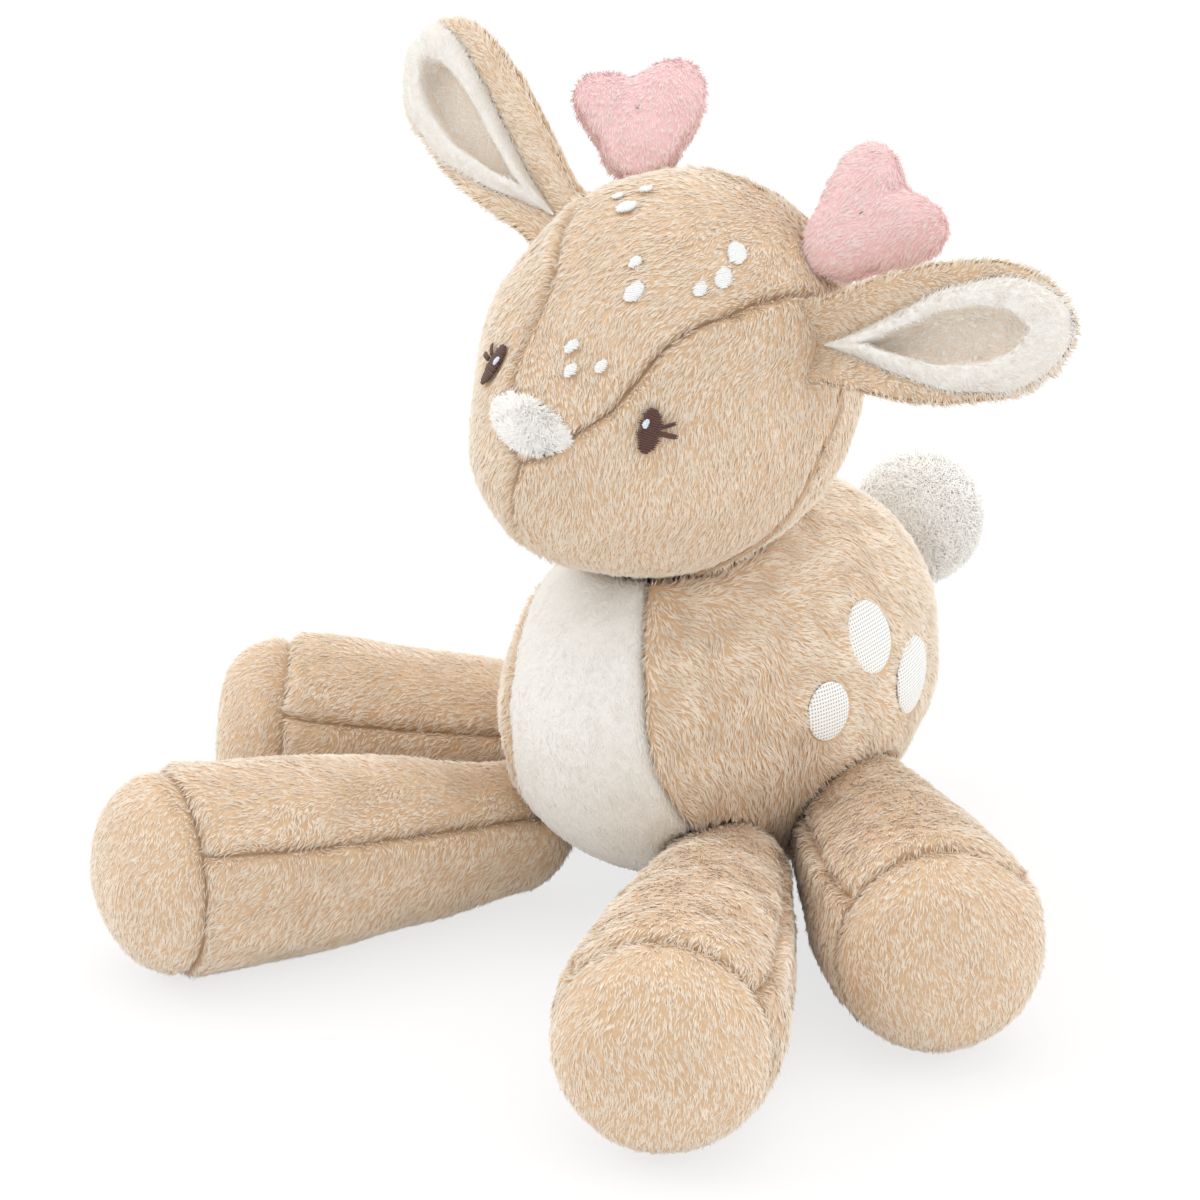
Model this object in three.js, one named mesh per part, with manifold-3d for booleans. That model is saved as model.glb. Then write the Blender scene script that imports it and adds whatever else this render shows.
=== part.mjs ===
// A seated plush fawn: sewn cloth panels over stuffing, with floppy legs, leaf ears, two-lobed
// antlers, a pompom tail and embroidered spots. Millimetres, +Z up, nose towards -Y, the fawn's
// left side towards +X. The origin is on the floor, in the middle of the flat under the belly.
import * as THREE from 'three';
import { mergeVertices } from 'three/addons/utils/BufferGeometryUtils.js';
import Module from 'manifold-3d';

const wasm = await Module();
wasm.setup();

const { degToRad, lerp } = THREE.MathUtils;
const vector = (x, y, z) => new THREE.Vector3(x, y, z);

// Cloth, stitching and clearances.
const clothThickness = 2.4;
const seamGap = 0.3;
const hipClearance = 2.3;
const neckClearance = 0.8;
const fillingClearance = 3.4;
const floorPress = 0.5;
const embroideryThickness = 0.8;
const overrun = 500;

// Body.
const bodyHalfWidth = 54;
const bodyHalfLength = 88;
const bodyHalfHeight = 60;

// Head: a ball with a muzzle, tipped to the fawn's left and turned a little to its right.
const headHalfWidth = 53;
const headHalfDepth = 57;
const headHalfHeight = 58;
const headForward = 31.5;
const headRise = 41;
const headTip = degToRad(13.5);
const headTurn = degToRad(-3.9);
const headTurnLimit = degToRad(20);

// Legs: tapered tubes with a domed sole.
const legLength = 103;
const footRadius = 30.9;
const rootRadius = 19.6;
const soleDome = 21;
const hipHeight = 24;
const frontHipAside = 36.5;
const frontHipForward = 60;
const hindHipAside = 40;
const hindHipBack = 5;

// Ears: two cupped layers of cloth.
const earLength = 72.5;
const earHalfWidth = 18.5;
const earLayerThickness = 2;
const earLayerGap = 0.5;
const earRootDepth = 5;
const earSwing = degToRad(18);

// Antlers: flat stuffed pads with two lobes.
const antlerHeight = 37;
const antlerHalfThickness = 8.5;
const antlerCloth = 1.6;
const antlerSwing = degToRad(12);

// Tail, nose patch and embroidery.
const tailRadius = 21;
const tailHeight = 78;
const tailRest = degToRad(20);
const tailSwingLeft = degToRad(5);
const tailSwingRight = degToRad(40);
const noseHalfWidth = 13.5;
const noseHalfHeight = 8.5;
const noseThickness = 3;
const eyeHalfWidth = 3.4;
const eyeHalfHeight = 6.3;
const lashReach = 4.2;
const shineRadius = 1.5;
const largestDotRadius = 3.4;
const largestSpotRadius = 12;

// Facets round and along each kind of form.
const ballFacets = { sides: 26, rings: 16 };
const fillingFacets = { sides: 16, rings: 10 };
const coarseFacets = { sides: 14, rings: 8 };
const legFacets = { sides: 16, capSteps: 3, shaftSteps: 4 };
const legFillingFacets = { sides: 10, capSteps: 2, shaftSteps: 2 };
const legCoarseFacets = { sides: 8, capSteps: 2, shaftSteps: 1 };
const antlerFacets = { sides: 22, rings: 6 };
const antlerFillingFacets = { sides: 12, rings: 4 };
const tailFacets = { sides: 18, rings: 12 };
const earFacets = { along: 8, across: 6 };

// Cloth and thread colours.
const tan = 0xe0c8ad;
const white = 0xf5f3ee;
const pink = 0xf2c2c6;
const threadBrown = 0x4a3128;
const shineBlue = 0xd9e2ec;
const fillingWhite = 0xfafafa;

const up = vector(0, 0, 1);
const left = vector(1, 0, 0);
const right = vector(-1, 0, 0);

function plush(colour) {
  return new THREE.MeshStandardMaterial({ color: colour, roughness: 0.95, metalness: 0 });
}

function thread(colour) {
  return new THREE.MeshStandardMaterial({ color: colour, roughness: 0.55, metalness: 0 });
}

function filling() {
  return new THREE.MeshStandardMaterial({ color: fillingWhite, roughness: 1, metalness: 0 });
}

// Turns a closed geometry into a solid, leaving out the triangles of no area at its poles.
function toSolid(geometry) {
  geometry.deleteAttribute('normal');
  geometry.deleteAttribute('uv');
  const merged = mergeVertices(geometry);
  const corners = Array.from(merged.index.array);
  const kept = [];
  for (let i = 0; i < corners.length; i += 3) {
    const [a, b, c] = corners.slice(i, i + 3);
    if (a !== b && b !== c && c !== a) kept.push(a, b, c);
  }
  return new wasm.Manifold(new wasm.Mesh({
    numProp: 3,
    vertProperties: new Float32Array(merged.attributes.position.array),
    triVerts: new Uint32Array(kept),
  }));
}

function toGeometry(solid) {
  const mesh = solid.getMesh();
  const geometry = new THREE.BufferGeometry();
  geometry.setAttribute('position', new THREE.BufferAttribute(mesh.vertProperties, 3));
  geometry.setIndex(new THREE.BufferAttribute(mesh.triVerts, 1));
  geometry.computeVertexNormals();
  return geometry;
}

function piece(name, solid, material) {
  const mesh = new THREE.Mesh(toGeometry(solid), material);
  mesh.name = name;
  return mesh;
}

function moved(solid, matrix) {
  return solid.transform(matrix.elements);
}

// Everything on one side of a plane, which lies at a distance along its direction.
function halfSpace(direction, distance) {
  const box = new THREE.BoxGeometry(overrun, overrun, overrun);
  box.translate(0, 0, overrun / 2 + distance);
  box.applyQuaternion(new THREE.Quaternion().setFromUnitVectors(up, direction.clone().normalize()));
  return toSolid(box);
}

const aboveFloor = halfSpace(up, 0);

function turnAbout(pivot, axis, angle) {
  const back = pivot.clone().negate();
  return new THREE.Matrix4().makeTranslation(pivot.x, pivot.y, pivot.z)
    .multiply(new THREE.Matrix4().makeRotationAxis(axis.clone().normalize(), angle))
    .multiply(new THREE.Matrix4().makeTranslation(back.x, back.y, back.z));
}

// The space that a solid passes through as it turns from one angle to another.
function sweep(solid, pivot, axis, fromAngle, toAngle, steps) {
  let swept = moved(solid, turnAbout(pivot, axis, fromAngle));
  for (let step = 1; step <= steps; step += 1) {
    const angle = lerp(fromAngle, toAngle, step / steps);
    swept = swept.add(moved(solid, turnAbout(pivot, axis, angle)));
  }
  return swept;
}

// A swollen form is an oval ball. Each of its bumps adds a share of the radius in a soft spot
// round one direction, as wide as its spread in degrees, and a negative share is a hollow.
const headSwellShares = [
  { toward: vector(0, -0.955, -0.298), swell: 0.243, spread: 21 },
  { toward: vector(0, -0.807, 0.591), swell: -0.113, spread: 26 },
];

const bodySwellShares = [
  { toward: vector(0, -0.75, 0.66), swell: 0.06, spread: 26 },
  { toward: vector(0, -0.72, -0.69), swell: -0.06, spread: 22 },
];

const bodyForm = {
  centre: vector(0, 0, bodyHalfHeight - floorPress),
  radii: vector(bodyHalfWidth, bodyHalfLength, bodyHalfHeight),
  swellShares: bodySwellShares,
  turn: 0,
  tip: 0,
};

const headForm = {
  centre: vector(0, -headForward, bodyForm.centre.z + bodyHalfHeight + headRise),
  radii: vector(headHalfWidth, headHalfDepth, headHalfHeight),
  swellShares: headSwellShares,
  turn: headTurn,
  tip: headTip,
};

const neckPivot = headForm.centre;

function formMatrix(form) {
  return new THREE.Matrix4().makeTranslation(form.centre.x, form.centre.y, form.centre.z)
    .multiply(new THREE.Matrix4().makeRotationZ(form.turn))
    .multiply(new THREE.Matrix4().makeRotationY(form.tip));
}

function formRadius(form, direction) {
  let swollen = 1;
  for (const { toward, swell, spread } of form.swellShares) {
    const away = direction.angleTo(toward) / degToRad(spread);
    swollen += swell * Math.exp(-away * away / 2);
  }
  return swollen / direction.clone().divide(form.radii).length();
}

// A point over the form's surface, from a direction in the form's own frame.
function surfacePoint(form, direction, outset) {
  const unit = direction.clone().normalize();
  return unit.multiplyScalar(formRadius(form, unit) + outset).applyMatrix4(formMatrix(form));
}

function formSolid(form, outset, facets) {
  const ball = new THREE.SphereGeometry(1, facets.sides, facets.rings);
  ball.rotateX(Math.PI / 2);
  const position = ball.attributes.position;
  for (let i = 0; i < position.count; i += 1) {
    const direction = vector(0, 0, 0).fromBufferAttribute(position, i);
    position.setXYZ(i, ...surfacePoint(form, direction, outset));
  }
  return toSolid(ball);
}

// A closed solid between two grids of points that match, joined along their rims.
function gridSolid(nearGrid, farGrid) {
  const rows = nearGrid.length;
  const columns = nearGrid[0].length;
  const rim = [];
  for (let column = 0; column < columns; column += 1) rim.push([0, column]);
  for (let row = 1; row < rows; row += 1) rim.push([row, columns - 1]);
  for (let column = columns - 2; column >= 0; column -= 1) rim.push([rows - 1, column]);
  for (let row = rows - 2; row > 0; row -= 1) rim.push([row, 0]);
  const near = ([row, column]) => row * columns + column;
  const far = ([row, column]) => rows * columns + row * columns + column;
  const faces = [];
  const quad = (a, b, c, d) => faces.push(a, b, c, a, c, d);
  for (let row = 0; row + 1 < rows; row += 1) {
    for (let column = 0; column + 1 < columns; column += 1) {
      const loop = [[row, column], [row, column + 1], [row + 1, column + 1], [row + 1, column]];
      quad(...loop.map(near));
      quad(...loop.map(far).reverse());
    }
  }
  rim.forEach((spot, i) => {
    const next = rim[(i + 1) % rim.length];
    quad(near(next), near(spot), far(spot), far(next));
  });
  const geometry = new THREE.BufferGeometry();
  const points = [...nearGrid.flat(), ...farGrid.flat()].flatMap((point) => [...point]);
  geometry.setAttribute('position', new THREE.Float32BufferAttribute(points, 3));
  geometry.setIndex(faces);
  const solid = toSolid(geometry);
  return solid.volume() > 0 ? solid : turnedOut(geometry);
}

// On mirrored pieces the grid runs the other way round, so the faces are turned to point out.
function turnedOut(geometry) {
  geometry.setIndex(Array.from(geometry.index.array).reverse());
  return toSolid(geometry);
}

// Reads a table whose rows start with a place, at any place between them.
function tableShare(shares, at, column = 1) {
  const next = shares.findIndex((row) => row[0] >= at);
  if (next < 0) return shares[shares.length - 1][column];
  if (next === 0) return shares[0][column];
  const [from, to] = [shares[next - 1], shares[next]];
  return lerp(from[column], to[column], (at - from[0]) / (to[0] - from[0]));
}

// A strip round a form, from front to back. At angles in degrees up from straight ahead, its
// half-width and its middle's place to the left are shares of the form's half-width, and the
// margin widens it on both sides.
const stripRootShare = 0.3;
const stripStep = 9;

function strip(form, bandShares, margin) {
  const fromAngle = bandShares[0][0];
  const toAngle = bandShares[bandShares.length - 1][0];
  const steps = Math.ceil((toAngle - fromAngle) / stripStep);
  const row = (angle, reach) => {
    const halfWidth = form.radii.x * tableShare(bandShares, angle) + margin;
    const middle = form.radii.x * tableShare(bandShares, angle, 2);
    const ahead = vector(0, -Math.cos(degToRad(angle)), Math.sin(degToRad(angle)));
    return [-1, 1].map((side) => vector(middle + side * halfWidth, ahead.y * reach, ahead.z * reach)
      .applyMatrix4(formMatrix(form)));
  };
  const angles = Array.from({ length: steps + 1 }, (_, i) => lerp(fromAngle, toAngle, i / steps));
  const outer = angles.map((angle) => row(angle, overrun));
  const inner = angles.map((angle) => row(angle, form.radii.x * stripRootShare));
  return gridSolid(outer, inner);
}

// Legs. Each lies along its own direction, splay away from straight ahead, and swings about a
// vertical line through its hip. Positive swing is outwards.
const legs = [
  { name: 'front_left', side: 1, hind: false, splay: 22.3, inward: 18, outward: 1 },
  { name: 'front_right', side: -1, hind: false, splay: 32.1, inward: 30, outward: 8 },
  { name: 'hind_left', side: 1, hind: true, splay: 42.5, inward: 0, outward: 46 },
  { name: 'hind_right', side: -1, hind: true, splay: 56, inward: 10, outward: 34 },
];
const legRise = Math.asin((footRadius - floorPress - hipHeight) / legLength);
const rimShare = 0.93;
const legSeamShare = 0.52;
const shaftEndShare = 0.94;
const domePower = 2.3;

function hipOf(leg) {
  if (leg.hind) return vector(leg.side * hindHipAside, hindHipBack, hipHeight);
  return vector(leg.side * frontHipAside, -frontHipForward, hipHeight);
}

function legMatrix(leg) {
  const hip = hipOf(leg);
  return new THREE.Matrix4().makeTranslation(hip.x, hip.y, hip.z)
    .multiply(new THREE.Matrix4().makeRotationZ(leg.side * degToRad(leg.splay)))
    .multiply(new THREE.Matrix4().makeRotationX(-legRise));
}

// The outline runs from the rounded root, along the swelling shaft and in at the sole's seam,
// to the middle of the domed sole.
function legOutline(inset, facets) {
  const outline = [];
  const root = rootRadius - inset;
  for (let step = 0; step < facets.capSteps; step += 1) {
    const angle = Math.PI / 2 * step / facets.capSteps;
    outline.push(new THREE.Vector2(root * Math.sin(angle), -root * Math.cos(angle)));
  }
  for (let step = 0; step <= facets.shaftSteps; step += 1) {
    const share = shaftEndShare * step / facets.shaftSteps;
    const radius = lerp(rootRadius, footRadius, Math.sin(Math.PI / 2 * share)) - inset;
    outline.push(new THREE.Vector2(radius, share * legLength));
  }
  const rim = footRadius * rimShare - inset;
  const dome = soleDome - inset;
  for (let step = 0; step < facets.capSteps + 1; step += 1) {
    const share = step / (facets.capSteps + 1);
    const radius = rim * (1 - share ** domePower) ** (1 / domePower);
    outline.push(new THREE.Vector2(radius, legLength + dome * share));
  }
  outline.push(new THREE.Vector2(0, legLength + dome));
  return outline;
}

function legSolid(leg, inset, facets) {
  const shape = new THREE.LatheGeometry(legOutline(inset, facets), facets.sides);
  shape.rotateZ(Math.PI);
  shape.applyMatrix4(legMatrix(leg));
  return toSolid(shape);
}

// The upper and lower tube panels meet along both sides, a little above the middle.
function legSeamPlane(leg, sign) {
  const slope = Math.atan((footRadius - rootRadius) * legSeamShare / legLength);
  const plane = halfSpace(up.clone().multiplyScalar(sign), seamGap / 2);
  const matrix = new THREE.Matrix4().makeTranslation(0, 0, rootRadius * legSeamShare)
    .multiply(new THREE.Matrix4().makeRotationX(-slope));
  return moved(moved(plane, matrix), legMatrix(leg));
}

function soleSide(leg, sign) {
  const plane = halfSpace(vector(0, -sign, 0), sign * legLength + seamGap / 2);
  return moved(plane, legMatrix(leg));
}

function legPieces(leg) {
  const outer = legSolid(leg, 0, legFacets).intersect(aboveFloor);
  const cover = outer.subtract(legSolid(leg, clothThickness, legFillingFacets));
  const tube = cover.intersect(soleSide(leg, -1));
  const stuffing = legSolid(leg, clothThickness + seamGap, legFillingFacets);
  return [
    piece(`leg_${leg.name}_upper`, tube.intersect(legSeamPlane(leg, 1)), plush(tan)),
    piece(`leg_${leg.name}_lower`, tube.intersect(legSeamPlane(leg, -1)), plush(tan)),
    piece(`leg_${leg.name}_sole`, cover.intersect(soleSide(leg, 1)), plush(tan)),
    piece(`leg_${leg.name}_stuffing`, stuffing, filling()),
  ];
}

// What the body leaves free: the legs' roots as they swing, in steps of so many degrees, and
// the turning head. These shapes have few facets, so their clearances allow for that.
const clothSwingStep = 11;
const fillingSwingStep = 18;

function legClearance(leg, clearance, facets, swingStep) {
  const root = legSolid(leg, -clearance, facets);
  const steps = Math.ceil((leg.inward + leg.outward) / swingStep);
  const axis = vector(0, 0, leg.side);
  return sweep(root, hipOf(leg), axis, -degToRad(leg.inward), degToRad(leg.outward), steps);
}

function headClearance(clearance, facets) {
  const head = formSolid(headForm, clearance, facets);
  return sweep(head, neckPivot, up, -headTurnLimit, headTurnLimit, 2);
}

function clothSpace() {
  const roots = legs.map((leg) => legClearance(leg, hipClearance, legFillingFacets, clothSwingStep));
  return roots.reduce((sum, next) => sum.add(next), headClearance(neckClearance, ballFacets));
}

function fillingSpace() {
  const roots = legs.map((leg) => legClearance(leg, fillingClearance, legCoarseFacets, fillingSwingStep));
  return roots.reduce((sum, next) => sum.add(next), headClearance(fillingClearance, coarseFacets));
}

// Tail: a ball of pile that swings about the spot where it is sewn to the rump.
function tailRoot() {
  const height = (tailHeight - bodyForm.centre.z) / bodyHalfHeight;
  return vector(0, bodyHalfLength * Math.sqrt(1 - height * height), tailHeight);
}

function tailSolid(outset) {
  const reach = tailRadius + seamGap;
  const ball = new THREE.SphereGeometry(tailRadius + outset, tailFacets.sides, tailFacets.rings);
  const root = tailRoot();
  ball.translate(root.x + reach * Math.sin(tailRest), root.y + reach * Math.cos(tailRest), root.z);
  return toSolid(ball);
}

function tailPiece() {
  const clearance = sweep(formSolid(bodyForm, seamGap, ballFacets), tailRoot(), up,
    -tailSwingRight, tailSwingLeft, 2);
  return piece('tail_pompom', tailSolid(0).subtract(clearance), plush(white));
}

// Body panels: a white strip down the chest and under the belly, and a side panel each side.
const chestBandShares = [
  [-150, 0.12, 0], [-120, 0.42, 0], [-90, 0.57, 0], [-40, 0.57, 0.04], [-14, 0.5, 0.06],
  [-3, 0.45, 0.045], [4, 0.43, 0.01], [19, 0.42, -0.08], [31, 0.42, -0.19], [45, 0.41, -0.32],
  [56, 0.34, -0.3], [66, 0.2, -0.26],
];

function bodyPieces() {
  const outer = formSolid(bodyForm, 0, ballFacets).intersect(aboveFloor);
  const shell = outer.subtract(formSolid(bodyForm, -clothThickness, fillingFacets));
  const cover = shell.subtract(clothSpace());
  const sides = cover.subtract(strip(bodyForm, chestBandShares, seamGap / 2));
  const chest = cover.intersect(strip(bodyForm, chestBandShares, -seamGap / 2));
  const filled = formSolid(bodyForm, -clothThickness - seamGap, fillingFacets);
  return [
    piece('chest_belly_panel', chest, plush(white)),
    piece('body_left_side', sides.intersect(halfSpace(left, seamGap / 2)), plush(tan)),
    piece('body_right_side', sides.intersect(halfSpace(right, seamGap / 2)), plush(tan)),
    piece('body_stuffing', filled.subtract(fillingSpace()), filling()),
  ];
}

// Head panels: a forehead strip that widens from the nose to the ears, two sides that meet
// under the chin, and two back panels behind a seam through the ears.
const gussetBandShares = [
  [-4, 0.094, 0], [11, 0.305, 0], [21, 0.36, 0], [32, 0.4, 0], [43, 0.46, 0], [57, 0.575, 0],
  [75, 0.65, 0], [91, 0.71, 0], [120, 0.8, 0],
];
const earSeamLean = vector(0, 1, -0.3);
const earSeamBack = 2.9;

function headPieces() {
  const place = formMatrix(headForm);
  const behind = moved(halfSpace(earSeamLean, earSeamBack + seamGap / 2), place);
  const ahead = moved(halfSpace(earSeamLean.clone().negate(), seamGap / 2 - earSeamBack), place);
  const onLeft = moved(halfSpace(left, seamGap / 2), place);
  const onRight = moved(halfSpace(right, seamGap / 2), place);
  const inner = formSolid(headForm, -clothThickness, fillingFacets);
  const cover = formSolid(headForm, 0, ballFacets).subtract(inner);
  const face = cover.intersect(ahead);
  const gusset = face.intersect(strip(headForm, gussetBandShares, -seamGap / 2));
  const sides = face.subtract(strip(headForm, gussetBandShares, seamGap / 2));
  const back = cover.intersect(behind);
  const stuffing = formSolid(headForm, -clothThickness - seamGap, fillingFacets);
  return [
    piece('forehead_gusset', gusset, plush(tan)),
    piece('head_left_side', sides.intersect(onLeft), plush(tan)),
    piece('head_right_side', sides.intersect(onRight), plush(tan)),
    piece('head_back_left', back.intersect(onLeft), plush(tan)),
    piece('head_back_right', back.intersect(onRight), plush(tan)),
    piece('head_stuffing', stuffing, filling()),
  ];
}

// A patch laid on a form round a direction. Its outline gives the reach across and upwards.
function patchSolid(form, toward, outline, thickness, rings, sides) {
  const across = up.clone().cross(toward).normalize().multiplyScalar(Math.sign(-toward.y) || 1);
  const upward = toward.clone().cross(up.clone().cross(toward)).normalize();
  const reachOf = formRadius(form, toward.clone().normalize());
  const profile = [];
  for (let ring = 0; ring <= rings; ring += 1) profile.push(new THREE.Vector2(ring / rings, 0));
  for (let ring = rings; ring >= 0; ring -= 1) profile.push(new THREE.Vector2(ring / rings, 1));
  const disc = new THREE.LatheGeometry(profile, sides);
  const position = disc.attributes.position;
  for (let i = 0; i < position.count; i += 1) {
    const angle = Math.atan2(position.getZ(i), position.getX(i));
    const share = Math.hypot(position.getX(i), position.getZ(i));
    const reach = outline(angle) * share / reachOf;
    const direction = toward.clone().normalize()
      .addScaledVector(across, Math.cos(angle) * reach)
      .addScaledVector(upward, Math.sin(angle) * reach);
    position.setXYZ(i, ...surfacePoint(form, direction, seamGap + position.getY(i) * thickness));
  }
  const solid = toSolid(disc);
  return solid.volume() > 0 ? solid : turnedOut(disc);
}

function ovalOutline(halfWidth, halfHeight) {
  return (angle) => 1 / Math.hypot(Math.cos(angle) / halfWidth, Math.sin(angle) / halfHeight);
}

// Forehead dots: satin stitched ovals, each placed on the head and sized as a share.
const dotShares = [
  { toward: vector(-0.356, -0.272, 0.894), size: 0.5 },
  { toward: vector(-0.249, -0.2, 0.948), size: 0.53 },
  { toward: vector(-0.254, -0.347, 0.903), size: 0.82 },
  { toward: vector(0.005, -0.596, 0.803), size: 0.56 },
  { toward: vector(0.096, -0.699, 0.708), size: 0.9 },
  { toward: vector(0.37, -0.264, 0.891), size: 1 },
  { toward: vector(0.412, -0.397, 0.82), size: 0.9 },
  { toward: vector(0.365, -0.512, 0.777), size: 0.62 },
  { toward: vector(-0.04, -0.921, 0.387), size: 0.6 },
  { toward: vector(0.156, -0.918, 0.364), size: 0.54 },
  { toward: vector(0.028, -0.955, 0.294), size: 0.58 },
];

function dotPieces() {
  return dotShares.map(({ toward, size }, i) => {
    const radius = largestDotRadius * size;
    const solid = patchSolid(headForm, toward, ovalOutline(radius, radius), embroideryThickness, 1, 8);
    return piece(`forehead_dot_${i + 1}`, solid, thread(white));
  });
}

// Flank spots: knitted cloth discs sewn on each side of the rump.
const spotShares = [
  { name: 'upper', toward: vector(0.904, -0.029, 0.427), size: 0.92 },
  { name: 'rear', toward: vector(0.929, 0.362, 0.078), size: 1 },
  { name: 'lower', toward: vector(0.872, -0.462, 0.161), size: 0.72 },
];

function spotPieces(sideName, mirror) {
  return spotShares.map(({ name, toward, size }) => {
    const radius = largestSpotRadius * size;
    const solid = patchSolid(bodyForm, toward.clone().multiply(mirror), ovalOutline(radius, radius),
      embroideryThickness, 2, 16);
    return piece(`flank_spot_${sideName}_${name}`, solid, plush(white));
  });
}

// Nose: a small patch of long white pile at the tip of the muzzle.
const noseToward = vector(0, -1, 0.06);

function nosePiece() {
  const outline = ovalOutline(noseHalfWidth, noseHalfHeight);
  return piece('nose_patch', patchSolid(headForm, noseToward, outline, noseThickness, 3, 20), plush(white));
}

// Eyes: brown stitched ovals with two lashes on the outer side, and a pale shine stitched on.
const eyeToward = vector(0.466, -0.876, 0.124);
const lashAngles = [-3, 27];
const lashSpread = 13;
const shineToward = vector(0.44, -0.874, 0.165);

function eyeOutline(outerSide) {
  const oval = ovalOutline(eyeHalfWidth, eyeHalfHeight);
  return (angle) => {
    const fromOuter = THREE.MathUtils.radToDeg(outerSide > 0 ? angle : Math.PI - angle);
    const lashes = lashAngles.map((at) => {
      const away = Math.abs(THREE.MathUtils.euclideanModulo(fromOuter - at + 180, 360) - 180);
      return Math.max(0, 1 - away / lashSpread) * lashReach;
    });
    return oval(angle) + Math.max(...lashes);
  };
}

function eyePieces(sideName, mirror) {
  const eye = patchSolid(headForm, eyeToward.clone().multiply(mirror), eyeOutline(mirror.x),
    embroideryThickness, 1, 24);
  const lifted = { ...headForm, radii: headForm.radii.clone().addScalar(embroideryThickness) };
  const shine = patchSolid(lifted, shineToward.clone().multiply(mirror),
    ovalOutline(shineRadius, shineRadius), embroideryThickness, 1, 8);
  return [
    piece(`eye_${sideName}`, eye, thread(threadBrown)),
    piece(`eye_${sideName}_shine`, shine, thread(shineBlue)),
  ];
}

// A frame on the head: where a piece is sewn on, and its directions along, across and out.
function headFrame(seat, along, across, facing, mirror) {
  const turned = (direction) => direction.clone().multiply(mirror).normalize()
    .transformDirection(formMatrix(headForm));
  return {
    seat: surfacePoint(headForm, seat.clone().multiply(mirror), 0),
    along: turned(along),
    across: turned(across),
    facing: turned(facing),
  };
}

// The two sides rest a little differently: a piece leans back about its root line, out within
// its own plane, and turns about its length. The angles are in degrees.
function restingFrame(frame, { back, out, turn }) {
  const lean = new THREE.Quaternion().setFromAxisAngle(frame.across, degToRad(back))
    .multiply(new THREE.Quaternion().setFromAxisAngle(frame.facing, degToRad(out)))
    .multiply(new THREE.Quaternion().setFromAxisAngle(frame.along, degToRad(turn)));
  for (const direction of [frame.along, frame.across, frame.facing]) direction.applyQuaternion(lean);
  return frame;
}

function framePoint(frame, along, across, facing) {
  return frame.seat.clone()
    .addScaledVector(frame.along, along)
    .addScaledVector(frame.across, across)
    .addScaledVector(frame.facing, facing);
}

// The head as seen by a piece that swings on it, so the piece can be trimmed to clear it.
function headSeenFrom(pivot, axis, swing) {
  return sweep(formSolid(headForm, seamGap, ballFacets), pivot, axis, -swing, swing, 2);
}

// Ears: a leaf, folded nearly shut at its root and opening towards the tip. Shares along the
// ear give its half-width, and degrees give how far each half curls forward.
const earSeat = vector(0.842, 0.05, 0.54);
const earAlong = vector(0.892, 0.108, 0.439);
const earAcross = vector(0.46, -0.235, -0.856);
const earFacing = vector(-0.015, -0.964, 0.267);
const earWidthShares = [[0, 0.5], [0.12, 0.62], [0.3, 0.84], [0.5, 1], [0.7, 0.98], [0.85, 0.78],
  [0.94, 0.52], [1, 0.2]];
const earCurlShares = [[0, 0.9], [0.2, 0.72], [0.5, 0.5], [0.8, 0.36], [1, 0.2]];
const earFullCurl = degToRad(95);
const earRests = {
  left: { back: 0, out: 0, turn: 0 },
  right: { back: 1, out: 4, turn: 0 },
};

function earPoint(frame, along, across, lift) {
  const share = Math.max(0, along);
  const curl = earFullCurl * tableShare(earCurlShares, share);
  const bend = earHalfWidth * tableShare(earWidthShares, share) / Math.sin(Math.min(curl, Math.PI / 2));
  const angle = across * curl;
  const radius = bend - lift;
  return framePoint(frame, along * earLength, radius * Math.sin(angle), bend - radius * Math.cos(angle));
}

function earLayer(frame, fromLift, toLift) {
  const start = -earRootDepth / earLength;
  const grid = (lift) => Array.from({ length: earFacets.along + 1 }, (_, row) => (
    Array.from({ length: earFacets.across + 1 }, (__, column) => earPoint(frame,
      lerp(start, 1, row / earFacets.along), lerp(-1, 1, column / earFacets.across), lift))));
  return gridSolid(grid(fromLift), grid(toLift));
}

function earPieces(sideName, mirror) {
  const sewn = headFrame(earSeat, earAlong, earAcross, earFacing, mirror);
  const frame = restingFrame(sewn, earRests[sideName]);
  const clearance = headSeenFrom(frame.seat, frame.across, earSwing);
  const outer = earLayer(frame, -earLayerThickness, -earLayerGap / 2).subtract(clearance);
  const inner = earLayer(frame, earLayerGap / 2, earLayerThickness).subtract(clearance);
  return [
    piece(`ear_${sideName}_outer`, outer, plush(tan)),
    piece(`ear_${sideName}_inner`, inner, plush(white)),
  ];
}

// Antlers: the outline, as shares of the height at degrees from the notch, swells to two
// lobes and draws in to the root. The front and back cloth meet round the edge.
const antlerSeat = vector(0.56, 0.175, 0.81);
const antlerAlong = vector(0.413, 0.496, 0.763);
const antlerAcross = vector(0.907, -0.14, -0.4);
const antlerFacing = vector(-0.09, 0.857, -0.507).negate();
const antlerOutlineShares = [[0, 0.36], [22, 0.48], [43, 0.62], [60, 0.58], [75, 0.49],
  [100, 0.4], [130, 0.4], [155, 0.53], [180, 0.6]];
const antlerMiddleShare = 0.47;
const antlerRests = {
  left: { back: 0, out: 0, turn: 0 },
  right: { back: 10, out: 10, turn: 24 },
};

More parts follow.
